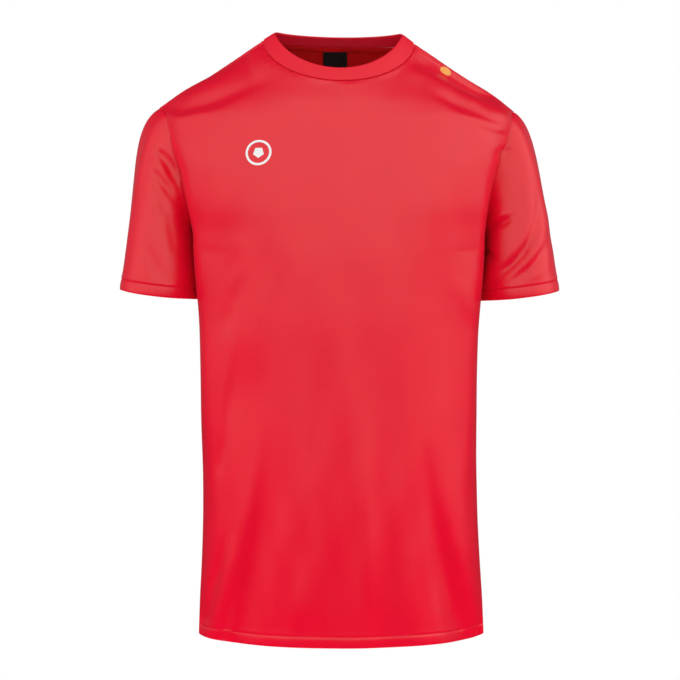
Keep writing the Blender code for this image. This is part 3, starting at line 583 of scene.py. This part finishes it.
def knit(name, colour, roughness, gloss_level, wale=WALE, course=COURSE, depth=0.00006):
    """Knitted polyester: columns and rows of loops with painted shade between them, a light sheen, and
    faint patches in the dye.
    """
    made = bpy.data.materials.new(name)
    made.use_nodes = True
    tree = made.node_tree
    shader = tree.nodes["Principled BSDF"]
    shader.inputs["Specular IOR Level"].default_value = gloss_level
    shader.inputs["Specular Tint"].default_value = (1.0, 1.0, 0.8, 1.0)
    shader.inputs["Sheen Weight"].default_value = 0.02
    shader.inputs["Sheen Roughness"].default_value = 0.4

    def node(kind, **values):
        new = tree.nodes.new(kind)
        for key, value in values.items():
            setattr(new, key, value)
        return new

    # Two sets of fine bands, multiplied, are the knit's loops. A band is pi / 10 long at scale 1.
    place = node("ShaderNodeUVMap", uv_map="cloth")
    loops = []
    for direction, length in (("X", wale), ("Y", course)):
        wave = node("ShaderNodeTexWave", wave_type="BANDS", bands_direction=direction)
        wave.inputs["Scale"].default_value = math.pi / 10 / length
        wave.inputs["Distortion"].default_value = 0.6
        wave.inputs["Detail Scale"].default_value = 2.0
        tree.links.new(place.outputs["UV"], wave.inputs["Vector"])
        loops.append(wave)
    height = node("ShaderNodeMath", operation="MULTIPLY")
    tree.links.new(loops[0].outputs["Fac"], height.inputs[0])
    tree.links.new(loops[1].outputs["Fac"], height.inputs[1])
    bump = node("ShaderNodeBump")
    bump.inputs["Strength"].default_value = 0.5
    bump.inputs["Distance"].default_value = depth
    tree.links.new(height.outputs["Value"], bump.inputs["Height"])
    tree.links.new(bump.outputs["Normal"], shader.inputs["Normal"])

    # The colour is painted a little darker between the loops, as shade in the knit's hollows. The dye
    # is a little darker in patches some centimetres wide, which are also a little smoother.
    dye = node("ShaderNodeTexNoise")
    dye.inputs["Scale"].default_value = 26.0
    dye.inputs["Detail"].default_value = 3.0
    tree.links.new(place.outputs["UV"], dye.inputs["Vector"])
    loop_shade_and_dye = node("ShaderNodeMath", operation="ADD")
    tree.links.new(dye.outputs["Fac"], loop_shade_and_dye.inputs[0])
    tree.links.new(height.outputs["Value"], loop_shade_and_dye.inputs[1])
    shade = node("ShaderNodeMapRange")
    shade.inputs["From Min"].default_value = 0.3
    shade.inputs["From Max"].default_value = 1.5
    tree.links.new(loop_shade_and_dye.outputs["Value"], shade.inputs["Value"])
    colours = node("ShaderNodeValToRGB")
    for point, strength in zip(colours.color_ramp.elements, (0.94, 1.04)):
        point.color = [strength * part for part in colour] + [1]
    tree.links.new(shade.outputs["Result"], colours.inputs["Fac"])
    tree.links.new(colours.outputs["Color"], shader.inputs["Base Color"])
    gloss = node("ShaderNodeMapRange")
    gloss.inputs["To Min"].default_value = roughness
    gloss.inputs["To Max"].default_value = roughness + 0.03
    tree.links.new(dye.outputs["Fac"], gloss.inputs["Value"])
    tree.links.new(gloss.outputs["Result"], shader.inputs["Roughness"])
    return made


jersey_cloth = knit("jersey_cloth", CLOTH_RED, roughness=0.285, gloss_level=0.9)
# The cloth's inside: rougher, less glossy, and painted darker for the shade inside the jersey.
jersey_inside_shaded = knit("jersey_inside_shaded", INSIDE_RED_SHADED, roughness=0.6, gloss_level=0.15)

FOLD_CLEAR = 9.0  # folds die away over this distance from a side, shoulder or neck seam
FOLD_CLEAR_LOW, NEAR_HEM, NEAR_HEM_OVER = 26.0, -560.0, 100.0  # and over this one near the hem
CROSSES_FROM = 12.0  # they cross an armhole's seam, but not this near to its ends
DRAWN_IN, HANGS_FREE_BELOW = 7.0, -430.0  # below the stomach the cloth falls back a little
STRAIGHT_IN = 0.85  # by this share the cloth there goes straight back, and not square to itself
HEM_LEVELLING = 0.13  # where the cloth goes in, the hem hangs lower by this share, so it looks level
HEM_LEVELLED_BELOW = -540.0
GROWS_OVER = 120.0  # the height over which those two grow to their full share
HEM_ROW = BESIDE_HEM.index(HEM_HEIGHT)  # the row of points under the stitches

# Beside the armhole and below it, the front hangs straighter than the body's side. It stands out
# by FLANK at each of the levels, most at FLANK_MIDDLE from the side line, and less within
# FLANK_REACH of there. Both have one size low down and another beside the armhole.
FLANK_LEVELS = np.array([-690.0, -560.0, -430.0, -340.0, -262.0, -205.0, -150.0, -95.0])
FLANK = np.array([0.0, 2.0, 5.0, 7.5, 11.0, 6.0, 2.0, 0.0])
FLANK_MIDDLE, FLANK_REACH = (62.0, 78.0), (30.0, 18.0)
FLANK_CHANGES_FROM, FLANK_CHANGES_OVER = -275.0, 120.0
FLANK_CLEAR = 20.0  # it dies away over this distance from the seam


def flank(from_side_line, from_seam, level):
    """How far the front stands out, by its distances from the side line and from its own seam."""
    beside_armhole = eased((level - FLANK_CHANGES_FROM) / FLANK_CHANGES_OVER)
    middle, reach = mixed(*FLANK_MIDDLE, beside_armhole), mixed(*FLANK_REACH, beside_armhole)
    bow = np.exp(-(((from_side_line - middle) / reach) ** 2)) * eased(from_seam / FLANK_CLEAR)
    level = np.clip(level, FLANK_LEVELS[0], FLANK_LEVELS[-1])
    return bow * curve_through(FLANK_LEVELS, FLANK, level)


def panel(name, facing, folds, seed):
    """A panel with its folds, hem and seam edges. Returns the piece, its outer points and the normals."""
    angle, level = panel_grid(facing)
    smooth, normals = torso(angle, level), torso_normals(angle, level)
    along, up = run_lengths(smooth, 1), run_lengths(smooth, 0)
    from_side, from_neck = np.minimum(along, along[:, -1:] - along), up[-1] - up
    side_clear = mixed(FOLD_CLEAR, FOLD_CLEAR_LOW, eased((NEAR_HEM - level) / NEAR_HEM_OVER))
    crossing = eased((level - ARMPIT_LEVEL) / CROSSES_FROM) * eased((TIP_LEVEL - level) / CROSSES_FROM)
    clear = np.maximum(eased(from_side / side_clear), crossing) * eased(from_neck / FOLD_CLEAR)
    across, height = as_seen(smooth, facing)
    hangs_free = np.clip((HANGS_FREE_BELOW - level) / (HANGS_FREE_BELOW - HEM_LEVEL), 0, 1)
    inwards = relief(across, height, folds) + soft_waves(across, height, seed)
    inwards = (inwards + DRAWN_IN * hangs_free**2) * clear
    inwards += hem_roll(up, along) + seam_roll(from_side, up) + seam_roll(from_neck, along)
    if facing > 0:
        inwards -= flank(from_side + seam_forward(level[:, :1], 1), from_side, level)
    straight = STRAIGHT_IN * eased((HANGS_FREE_BELOW - level) / GROWS_OVER)[..., None]
    inward_way = (np.array([0, facing, 0]) + normals) * straight - normals
    outer = smooth + inward_way * inwards[..., None]
    levelling = HEM_LEVELLING * np.abs(outer[..., 1] - smooth[..., 1])
    outer[..., 2] -= levelling * eased((HEM_LEVELLED_BELOW - level) / GROWS_OVER)
    middle = along[:, along.shape[1] // 2][:, None]
    made = shell(
        name.replace("panel", "cloth"), outer, hem_thickness(up), normals, jersey_cloth,
        uv=np.stack([along - middle, up], axis=-1), lining=jersey_inside_shaded, lined=slice(HEM_ROW, None),
    )
    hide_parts(name)
    return made, outer, normals


front_panel, front_points, front_normals = panel("front_panel", 1, FRONT_FOLDS, seed=3)

# The hem's stitches are of polyester thread in the cloth's red. Each is a rod that dips into the
# cloth at both ends. STITCH_RISE is its height above the cloth and STITCH_GIRTH its share of the
# thread's radius, both at the shares STITCH_AT of its length.
STITCH_LENGTH, STITCH_PITCH, FIRST_STITCH, THREAD_RADIUS = 2.5, 3.2, 0.4, 0.24
STITCH_AT = np.array([0, 0.12, 0.88, 1])
STITCH_RISE = np.array([-0.1, 0.16, 0.16, -0.1])
STITCH_GIRTH = np.array([0.4, 1, 1, 0.4])


def stitched(name, line, normals):
    """Straight stitches along a line of points, joined into one piece."""
    run = run_lengths(line[None], 1)[0]
    starts = np.arange(FIRST_STITCH, run[-1] - STITCH_LENGTH, STITCH_PITCH)[:, None]
    at = starts + STITCH_AT * STITCH_LENGTH
    middle = np.stack([np.interp(at, run, line[:, k]) for k in range(3)], axis=-1)
    out = unit(np.stack([np.interp(at, run, normals[:, k]) for k in range(3)], axis=-1))
    side = unit(np.cross(np.gradient(middle, axis=1), out))
    middle = middle + out * STITCH_RISE[:, None]
    turn = np.arange(6)[:, None] * np.pi / 3
    ring = side[:, :, None] * np.cos(turn) + out[:, :, None] * np.sin(turn)
    rods = middle[:, :, None] + THREAD_RADIUS * STITCH_GIRTH[:, None, None] * ring
    rows = np.arange(rods[..., 0].size).reshape(rods.shape[:3])
    rows = np.concatenate([rows, rows[:, :, :1]], axis=2)
    first, last = rows[:, 0], rows[:, -1]
    faces = [quads(rod).reshape(-1, 4) for rod in rows]
    faces += [first[:, (3, 2, 1, 0)], first[:, (5, 4, 3, 0)], last[:, (3, 4, 5, 6)], last[:, (0, 1, 2, 3)]]
    faces = np.concatenate(faces)
    points = rods.reshape(-1, 3) * MM
    made = sewn(name, points, faces, points[faces][..., ::2], jersey_cloth)


stitched("front_hem_stitches", front_points[HEM_ROW], front_normals[HEM_ROW])

# ---- Back panel ----
# The back of the body, one piece of the same knit. It hangs from the shoulder blades in long soft
# folds, and has drag folds that run in from the armholes.
BACK_FOLDS = (
    (-192, -128, -150, -150, -112, -190, 5, 8, 1.8, 0.3, 0, 0.3, 0.2),
    (188, -126, 146, -152, 108, -196, 5, 8, 1.8, -0.3, 0, 0.3, 0.2),
    (-176, -186, -150, -205, -120, -246, 5, 7, 1.3, 0.3, 0, 0.3, 0.2),
    (172, -190, 146, -210, 118, -250, 5, 7, 1.2, -0.3, 0, 0.3, 0.2),
    (-186, -66, -140, -56, -84, -30, 6, 8, 1.8, 0.3, 0, 0.3, 0.2),
    (180, -70, 132, -58, 80, -30, 5, 8, 1.9, -0.3, 0, 0.3, 0.2),
    (-84, -290, -96, -420, -104, -566, 10, 13, 3.2, 0.3, 0, 0.3, 0.2),
    (82, -310, 92, -430, 102, -556, 10, 13, 3.0, -0.3, 0, 0.3, 0.2),
    (-124, -410, -138, -540, -152, -682, 8, 12, 3.0, 0.3, 0, 0.3, 0.2),
    (122, -430, 136, -560, 152, -684, 8, 11, 3.0, -0.3, 0, 0.3, 0.2),
    (-104, -520, -122, -600, -142, -690, 7, 8, -1.6, 0.0, 0, 0.3, 0.2),
    (104, -540, 120, -610, 142, -690, 7, 8, -1.6, 0.0, 0, 0.3, 0.2),
    (-34, -350, -28, -480, -22, -650, 14, 17, 2.2, 0.2, 0, 0.3, 0.2),
    (34, -390, 40, -520, 46, -666, 14, 16, 2.0, -0.2, 0, 0.3, 0.2),
    (-6, -470, 4, -560, 8, -660, 10, 12, -1.2, 0.0, 0, 0.3, 0.2),
    (-62, -400, -66, -500, -74, -620, 10, 12, -1.3, 0.0, 0, 0.3, 0.2),
    (66, -420, 70, -510, 76, -640, 10, 12, -1.2, 0.0, 0, 0.3, 0.2),
    (-60, -120, -20, -132, 30, -126, 12, 12, 1.0, 0.0, 0, 0.3, 0.2),
    (-40, -180, 4, -190, 50, -182, 12, 12, 0.8, 0.0, 0, 0.3, 0.2),
)
back_panel, back_points, back_normals = panel("back_panel", -1, BACK_FOLDS, seed=8)
stitched("back_hem_stitches", back_points[HEM_ROW], back_normals[HEM_ROW])

# ---- Sleeves ----
# A set-in sleeve of the same knit on each side, sewn into a tube, with a turned-up cuff. The arm
# hangs, so the sleeve's inner side lies against the body, and creases run from the armhole down to
# its front.

# Each sleeve has its side, 1 for the wearer's left, its cuff's middle and tilt, how far it runs on
# from the shoulder's tip before it turns down, how far it hangs straight above the cuff and by what
# lean, and the seed of its waves. Angles are in degrees.
SLEEVE_COLUMNS = ("side", "cuff_x", "cuff_z", "cuff_tilt", "cap", "hang", "lean", "seed")
SLEEVE_ROWS = {
    "sleeve_right": (-1, 212.0, -298.6, 7.4, 44.0, 108.0, 8.5, 21),
    "sleeve_left": (1, 211.0, -300.2, 7.8, 35.0, 104.0, 9.0, 34),
}
CUFF_OUTER_REACH, CUFF_INNER_REACH, CUFF_HALF_DEPTH = 45.5, 50.0, 67.0
CUFF_Y, CUFF_FRONT_DROP = 2.0, 3.0
CAP_SLOPE, UNDER_SLOPE, UNDER_LENGTH = 31.0, 80.0, 14.0  # as it leaves the shoulder and the armpit
SLEEVE_SPLAY, HANG_UNDER, INNER_FLATNESS, SLEEVE_TWIST = 18.0, 20.0, 0.72, 0.15
BODY_CLEARANCE, CLEARANCE_ROUNDING = 0.9, 3.0
CLEARANCE_OVER = 25.0  # the clearance grows over this distance from the seam
KEPT_OFF_BELOW, KEPT_OFF_OVER = -200.0, 30.0
FLANK_SPREAD = 0.9  # how much of the front's flank the sleeve gives way to
TOP_CLEAR = 14.0  # folds die away over this distance from the line along the sleeve's top
CUFF_CLEAR = 12.0  # and over this one from the cuff's stitches
WITH_BODY = 14.0  # this near to the armhole's seam the sleeve moves as the body's cloth does
WALL_WITH_BODY = 4.0  # and this near its wall stands as the panel's does, where both face alike
FACES_ALIKE = 0.7
SLEEVE_STEPS = 84
SHARES_BESIDE_SEAM = (0.0, 0.004, 0.009, 0.015, 0.023, 0.034, 0.048)
SHARES_BESIDE_HEM = (0.984, 0.990, 0.995, 0.998, 1.0)
BACK_SLEEVE_FOLDS = {
    "sleeve_right": (
        (-224, -132, -206, -156, -186, -200, 4, 6, 2.2, -0.3, 0, 0.1, 0.3),
        (-230, -180, -212, -210, -184, -262, 4, 6, 2.0, -0.3, 0, 0.1, 0.3),
        (-236, -226, -222, -252, -204, -282, 4, 5, 1.4, -0.3, 0, 0.1, 0.3),
        (-190, -140, -196, -150, -206, -158, 4, 4, 1.4, 0.0, 0, 0.1, 0.3),
    ),
    "sleeve_left": (
        (216, -130, 202, -158, 184, -198, 4, 6, 2.2, 0.3, 0, 0.1, 0.3),
        (228, -186, 208, -214, 180, -264, 4, 6, 2.0, 0.3, 0, 0.1, 0.3),
        (234, -230, 218, -256, 200, -284, 4, 5, 1.3, 0.3, 0, 0.1, 0.3),
    ),
}


def armhole_ring(side):
    """The seam round one armhole, from the armpit up the front, over the tip and down the back."""
    turn = np.arange(2 * ARMHOLE_STEPS) * np.pi / ARMHOLE_STEPS
    level = mixed(ARMPIT_LEVEL, TIP_LEVEL, (1.0 - np.cos(turn)) / 2)
    forward = np.where(turn <= np.pi, seam_forward(level, 1), seam_forward(level, -1))
    forward[0] = 0.0
    forward[ARMHOLE_STEPS] = TIP_SEAM_FORWARD
    angle = angle_at(forward, level)
    angle = angle if side > 0 else np.pi - angle
    return torso(angle, level), torso_normals(angle, level), turn


def kept_off_body(points, side):
    """A sleeve's points, moved outwards where they would come too near to the side of the body."""
    out, level = side * points[..., 0], points[..., 2]
    seam_y, power = ring_value("seam_y", level), ring_value("square", level)
    y = points[..., 1] - seam_y
    depth = np.where(y < 0, ring_value("front", level) + seam_y, ring_value("back", level) - seam_y)
    half = side_width("left" if side > 0 else "right", level)
    body = half * (1.0 - np.clip(np.abs(y) / depth, 0.0, 1.0) ** power) ** (1.0 / power)
    from_side_line = np.hypot(y, half - body)
    bowed = FLANK_SPREAD * flank(from_side_line, from_side_line, level)
    body = body + np.where(y < 0, bowed, 0)
    from_seam = eased(run_lengths(points, axis=0) / CLEARANCE_OVER)
    spare = out - body - BODY_CLEARANCE * from_seam
    rounding = (CLEARANCE_ROUNDING * from_seam) ** 2 + 0.0001
    kept = out - spare + (spare + np.sqrt(spare**2 + rounding)) / 2
    kept = mixed(out, kept, eased((KEPT_OFF_BELOW - level) / KEPT_OFF_OVER))
    return np.stack([side * kept, points[..., 1], points[..., 2]], axis=-1)


def tube_normals(grid):
    """Which way a tube's cloth faces, from a grid whose rows go round it."""
    across = np.roll(grid, -1, axis=1) - np.roll(grid, 1, axis=1)
    return unit(np.cross(across, np.gradient(grid, axis=0)))


def sleeve_form(sizes, start, body_normals, turn):
    """The sleeve without its folds, in rows that go round it, from the armhole to the cuff's edge."""
    side = sizes["side"]
    low = (1.0 + np.cos(turn)) / 2  # 1 at the armpit, 0 at the shoulder's tip
    forward = np.sin(turn)  # 1 at the front of the armhole, -1 at the back
    slope = np.radians(mixed(CAP_SLOPE, UNDER_SLOPE, low))
    splay = np.radians(SLEEVE_SPLAY) * forward
    leaving = np.stack(
        [side * np.cos(slope) * np.cos(splay), -np.cos(slope) * np.sin(splay), -np.sin(slope)], axis=-1
    )
    tilt, lean = np.radians(sizes["cuff_tilt"]), np.radians(sizes["lean"])
    inner_side = np.cos(turn) > 0
    outwards = -np.sign(np.cos(turn)) * np.abs(np.cos(turn)) ** np.where(inner_side, INNER_FLATNESS, 1.0)
    outwards = outwards * np.where(inner_side, CUFF_INNER_REACH, CUFF_OUTER_REACH)
    cuff = np.array([side * sizes["cuff_x"], CUFF_Y, sizes["cuff_z"]]) + np.stack(
        [
            side * (outwards * np.cos(tilt) + SLEEVE_TWIST * forward * CUFF_HALF_DEPTH),
            -forward * CUFF_HALF_DEPTH,
            outwards * np.sin(tilt) - CUFF_FRONT_DROP * np.clip(forward, 0.0, 1.0) ** 2,
        ],
        axis=-1,
    )
    up = np.array([-side * np.sin(lean), 0.0, np.cos(lean)])
    hem_top = cuff + up * HEM_HEIGHT
    round_seam = np.roll(start, -1, axis=0) - np.roll(start, 1, axis=0)
    off_panel = unit(np.cross(round_seam, body_normals)) * side
    # Every line down the sleeve is a curve from p0 to the stitches of the cuff.
    p0 = start + unit(mixed(off_panel, body_normals, (low**2)[:, None])) * SEAM_GAP
    p1 = p0 + leaving * mixed(sizes["cap"], UNDER_LENGTH, low)[:, None]
    p2 = hem_top + up * mixed(sizes["hang"], HANG_UNDER, low)[:, None]
    between = np.linspace(SHARES_BESIDE_SEAM[-1], SHARES_BESIDE_HEM[0], SLEEVE_STEPS + 1)[1:-1]
    share = np.concatenate([SHARES_BESIDE_SEAM, between, SHARES_BESIDE_HEM])[:, None, None]
    tube = (
        (1 - share) ** 3 * p0
        + 3 * (1 - share) ** 2 * share * p1
        + 3 * (1 - share) * share**2 * p2
        + share**3 * hem_top
    )
    band = [cuff + up * height for height in BESIDE_HEM[HEM_ROW - 1 :: -1]]
    return kept_off_body(np.concatenate([tube, np.array(band)])[:, ::-side], side)


def sleeve(name):
    """A sleeve with its folds. Returns the piece, its outer points and the normals."""
    sizes = dict(zip(SLEEVE_COLUMNS, SLEEVE_ROWS[name]))
    start, body_normals, turn = armhole_ring(sizes["side"])
    smooth = sleeve_form(sizes, start, body_normals, turn)
    from_seam, around = run_lengths(smooth, 0), run_lengths(smooth, 1)
    from_cuff = from_seam[-1] - from_seam
    from_top = smooth[..., 1] - start[:, 1].mean()
    folds = np.where(
        from_top < 0,
        relief(*as_seen(smooth, 1), FRONT_FOLDS),
        relief(*as_seen(smooth, -1), BACK_SLEEVE_FOLDS[name] + BACK_FOLDS),
    )
    folds += soft_waves(around, from_seam, sizes["seed"])
    inwards = folds * eased(np.abs(from_top) / TOP_CLEAR) * eased((from_cuff - HEM_HEIGHT) / CUFF_CLEAR)
    inwards += seam_roll(from_seam, around) + hem_roll(from_cuff, around)
    # The sleeve's edge moves with the panels' edges, so the two stay together at the seam.
    with_body = body_normals[:: -sizes["side"]][None]
    moving = unit(mixed(with_body, tube_normals(smooth), eased(from_seam / WITH_BODY)[..., None]))
    outer = smooth - moving * inwards[..., None]
    normals = tube_normals(outer)
    runs_on = eased(np.sum(normals * with_body, axis=-1, keepdims=True) / FACES_ALIKE)
    runs_on = runs_on * eased(1 - from_seam / WALL_WITH_BODY)[..., None]
    normals = unit(mixed(normals, with_body, runs_on))
    made = shell(
        name + "_cloth", outer, hem_thickness(from_cuff), normals, jersey_cloth, closed=True,
        uv=np.stack([around, -from_seam], axis=-1), lining=jersey_inside_shaded, lined=slice(None, -HEM_ROW),
    )
    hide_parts(name)
    return made, outer, normals


sleeves = {name: sleeve(name) for name in SLEEVE_ROWS}
for name, (_, points, normals) in sleeves.items():
    stitches = name.removeprefix("sleeve_") + "_cuff_stitches"
    stitched(stitches, points[-HEM_ROW - 1], normals[-HEM_ROW - 1])

# ---- Collar ----
# A band of fine rib, folded double and sewn round the neck opening. It stands a little proud of
# the panels, and its folded edge is round.
COLLAR_THICKNESS, COLLAR_PROUD = 2.0, 0.5
COLLAR_TOP = {"right": 77.0, "left": 73.5, "front": 61.0, "back": 45.0}
COLLAR_TOP_HEIGHTS = {"side": 12.5, "front_dip": -51.0, "back_dip": -1.8}
COLLAR_TOP_SHAPE, COLLAR_LEAN = 1.2, 0.9
COLLAR_ROUNDING, COLLAR_ROUNDING_REACH = 2.8, 0.17  # it rolls over a little beside the neck
COLLAR_COLUMNS = 220
RIB_RED = (0.78, 0.003, 0.026)
collar_rib = knit(
    "collar_rib", RIB_RED, roughness=0.5, gloss_level=0.6, wale=0.0013, course=0.0008, depth=0.00012
)


def collar_top(angle):
    """The folded edge of the collar, at the same angles as the neck seam."""
    out = np.sin(angle)
    seam_y = ring_value("seam_y", NECK_LEVEL)
    depth = np.where(out > 0, COLLAR_TOP["front"] + seam_y, COLLAR_TOP["back"] - seam_y)
    side = np.where(np.cos(angle) > 0, COLLAR_TOP["left"], COLLAR_TOP["right"])
    dip = COLLAR_TOP_HEIGHTS["front_dip"] * np.clip(out, 0.0, 1.0) ** COLLAR_TOP_SHAPE
    dip = dip + COLLAR_TOP_HEIGHTS["back_dip"] * np.clip(-out, 0.0, 1.0) ** 2
    height = COLLAR_TOP_HEIGHTS["side"] + dip - COLLAR_LEAN * np.cos(angle)
    height = height - COLLAR_ROUNDING * np.exp(-((out / COLLAR_ROUNDING_REACH) ** 2))
    return np.stack([side * np.cos(angle), seam_y - depth * out, height], axis=-1)


def collar():
    """The band, as a closed section that runs all round the neck."""
    angle = np.pi - np.arange(COLLAR_COLUMNS) * 2 * np.pi / COLLAR_COLUMNS
    seam, top = torso(angle, NECK_LEVEL), collar_top(angle)
    rise = top - seam
    width = np.linalg.norm(rise, axis=-1, keepdims=True)
    rise = rise / width
    round_neck = np.roll(seam, -1, axis=0) - np.roll(seam, 1, axis=0)
    out = unit(np.cross(round_neck, rise))
    half = COLLAR_THICKNESS / 2
    # up: share of the band's width. off: outwards from the middle of its thickness.
    face = [(0.0, half - 0.55), (0.02, half - 0.1), (0.05, half + 0.12), (0.12, half + 0.2)]
    face += [(up, half + 0.22 + 0.1 * math.sin(up * math.pi)) for up in np.linspace(0.2, 0.8, 9)]
    face += [(0.86, half + 0.2), (0.91, half + 0.08), (0.95, half - 0.15), (0.98, half - 0.5)]
    section = [*face, (1.0, 0.0), *((up, -off) for up, off in face[::-1])]
    middle = COLLAR_PROUD - half
    loops = np.array(
        [seam + rise * (SEAM_GAP + up * (width - SEAM_GAP)) + out * (middle + off) for up, off in section]
    )
    rows = np.arange(loops[:, :, 0].size).reshape(len(section), COLLAR_COLUMNS)
    rows = np.concatenate([rows, rows[:1]])
    rows = np.concatenate([rows, rows[:, :1]], axis=1)
    walk = np.concatenate([loops, loops[:1]])
    walk = np.concatenate([walk, walk[:, :1]], axis=1)
    around = np.broadcast_to(run_lengths(walk, 1)[:1], rows.shape)
    uv = np.stack([around, run_lengths(walk, 0)], axis=-1)
    faces, corners = quads(rows).reshape(-1, 4), quads(uv).reshape(-1, 4, 2)
    made = sewn("collar_band", loops.reshape(-1, 3) * MM, faces, corners * MM, collar_rib)
    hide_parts("collar")
    return made


collar_piece = collar()

# ---- Neck tape ----
# A narrow tape of the jersey's own cloth, dull side out and painted darker for the shade inside the
# neck, with both its edges folded under. It is stitched over the neck seam inside the back panel,
# whose sheet it belongs to.
TAPE_THICKNESS, TAPE_EDGE = 1.0, 0.1
ON_PANEL = 0.35  # room that is left between the panel's inside and what is sewn on it
tape_rows = slice(-len(BESIDE_SEAM), None)  # the panel's last rows, up to the neck seam
tape_normals = -back_normals[tape_rows, ::-1]
tape_base = back_points[tape_rows, ::-1] + tape_normals * CLOTH
tape_up = run_lengths(tape_base, 0)
tape_depth = np.sqrt(np.clip(1 - (2 * tape_up / tape_up[-1] - 1) ** 2, 0, 1)) * TAPE_THICKNESS + TAPE_EDGE
tape_outer = tape_base + tape_normals * (ON_PANEL + tape_depth)[..., None]
neck_tape = shell("neck_tape_strip", tape_outer, tape_depth, tape_normals, jersey_inside_shaded)
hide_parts("neck_tape")

# ---- Neck label ----
# A black woven polyester label, stitched inside the back below the tape. It is bare, with a plain
# edge that is woven thicker.
LABEL_WIDTH, LABEL_HEIGHT, LABEL_OFF_CENTRE, LABEL_TOP = 29.0, 42.0, -6.0, -5.2
LABEL_THICKNESS, LABEL_EDGE, LABEL_STEPS = 0.7, 0.25, 12
BESIDE_LABEL_EDGE = (0.0, 0.25, 1.2, 1.5)  # the middle two carry the thick edge
LABEL_BLACK = (0.010, 0.010, 0.012)
label_black = knit(
    "label_black", LABEL_BLACK, roughness=0.6, gloss_level=0.3, wale=0.0005, course=0.0005, depth=0.00004
)


def surface_of(piece):
    """A piece's mesh, ready for lines to be cast at it."""
    mesh = piece.data
    points = [vertex.co.copy() for vertex in mesh.vertices]
    return BVHTree.FromPolygons(points, [tuple(face.vertices) for face in mesh.polygons])


def laid_on(surface, start, way):
    """Where a line from start first meets a surface, in mm, and the surface's normal towards the line."""
    point, normal, _, _ = surface.ray_cast(Vector(start) * MM, Vector(way))
    normal = normal if normal.dot(Vector(way)) < 0 else -normal
    return np.array(point) / MM, np.array(normal)


def grid_laid_on(surface, starts, way):
    """The same for a grid of starts: a grid of places, and one of normals."""
    met = [[laid_on(surface, start, way) for start in row] for row in starts]
    return [np.array([[pair[k] for pair in row] for row in met]) for k in (0, 1)]


def across_label(size):
    """Places over one measure of the label, close together at its two edges."""
    edge = np.array(BESIDE_LABEL_EDGE)
    between = np.linspace(edge[-1], size - edge[-1], LABEL_STEPS)[1:-1]
    return np.concatenate([edge, between, size - edge[::-1]])


label_columns, label_rows = across_label(LABEL_WIDTH), across_label(LABEL_HEIGHT)
label_edge, label_bottom = LABEL_OFF_CENTRE - LABEL_WIDTH / 2, LABEL_TOP - LABEL_HEIGHT
label_places = [[(label_edge + x, 0, label_bottom + z) for x in label_columns] for z in label_rows]
label_base, label_normals = grid_laid_on(surface_of(back_panel), label_places, (0, 1, 0))
from_edge = np.minimum(
    np.minimum(label_columns, LABEL_WIDTH - label_columns)[None],
    np.minimum(label_rows, LABEL_HEIGHT - label_rows)[:, None],
)
thick = np.isclose(from_edge[..., None], BESIDE_LABEL_EDGE[1:3]).any(axis=-1)
label_depth = LABEL_THICKNESS + LABEL_EDGE * thick
label_outer = label_base + label_normals * (ON_PANEL + label_depth)[..., None]
neck_label = shell("woven_label", label_outer, label_depth, label_normals, label_black)
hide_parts("neck_label")

# ---- Chest and shoulder marks ----
# Two plain heat-pressed prints, with no letters: on the wearer's right of the chest a white ring with
# a five-sided patch inside it, like a ball, and on the left shoulder an orange dot.
CHEST_MARK, SHOULDER_MARK = (-92.0, -141.0), (124.0, -36.6)  # x and z
PRINT_THICKNESS, PRINT_SUNK = 0.25, 0.1  # above the cloth, and into it
RING_OUTER, RING_INNER, PATCH_RADIUS, DOT_RADIUS = 15.0, 12.4, 6.6, 7.0
PATCH_CORNERS_UP, PATCH_CORNERS_OUT = (-0.809, 0.309, 1.0), (0.588, 0.951, 0.0)  # for a radius of 1
PATCH_TOP, DOT_END = 0.97, 1.45  # both stop just short of a point: a height, and an angle
RING_STEPS, PATCH_STEPS, DOT_STEPS, PRINT_COLUMNS = 72, 14, 15, 11
IN_FRONT, OFF_CLOTH = 400.0, 12.0  # where the lines start that find the cloth
PRINT_WHITE, PRINT_ORANGE = (0.86, 0.86, 0.86), (0.86, 0.38, 0.09)
print_white = knit("print_white", PRINT_WHITE, roughness=0.45, gloss_level=0.4)
print_orange = knit("print_orange", PRINT_ORANGE, roughness=0.45, gloss_level=0.4)
front_surface = surface_of(front_panel)


def printed(name, x, z, across, up, finish, closed=False):
    """A print pressed on the front at x, z, from a grid of its places across and up the cloth."""
    centre, out = laid_on(front_surface, (x, -IN_FRONT, z), (0, 1, 0))
    right = unit(np.cross((0, 0, 1), -out))
    above = np.cross(out, right)
    starts = centre + out * OFF_CLOTH + across[..., None] * right + up[..., None] * above
    base, normals = grid_laid_on(front_surface, starts, -out)
    thickness = np.full(base.shape[:2], PRINT_THICKNESS + PRINT_SUNK)
    shell(name, base + normals * PRINT_THICKNESS, thickness, normals, finish, closed=closed)


def filled(heights, half_widths):
    """A grid over an outline that is the same on both sides."""
    across = half_widths[:, None] * np.linspace(-1, 1, PRINT_COLUMNS)
    return across, np.repeat(heights[:, None], PRINT_COLUMNS, axis=1)


ring_turn = -np.arange(RING_STEPS) * 2 * np.pi / RING_STEPS
ring_radii = np.array([RING_INNER, (RING_INNER + RING_OUTER) / 2, RING_OUTER])[:, None]
ring_places = ring_radii * np.cos(ring_turn), ring_radii * np.sin(ring_turn)
printed("chest_ring", *CHEST_MARK, *ring_places, print_white, closed=True)

patch_rows = np.linspace(PATCH_CORNERS_UP[0], PATCH_TOP, PATCH_STEPS) * PATCH_RADIUS
patch_sides = np.interp(patch_rows / PATCH_RADIUS, PATCH_CORNERS_UP, PATCH_CORNERS_OUT) * PATCH_RADIUS
printed("chest_patch", *CHEST_MARK, *filled(patch_rows, patch_sides), print_white)

dot_rows = np.sin(np.linspace(-DOT_END, DOT_END, DOT_STEPS)) * DOT_RADIUS
dot_sides = np.sqrt(DOT_RADIUS**2 - dot_rows**2)
printed("shoulder_dot", *SHOULDER_MARK, *filled(dot_rows, dot_sides), print_orange)
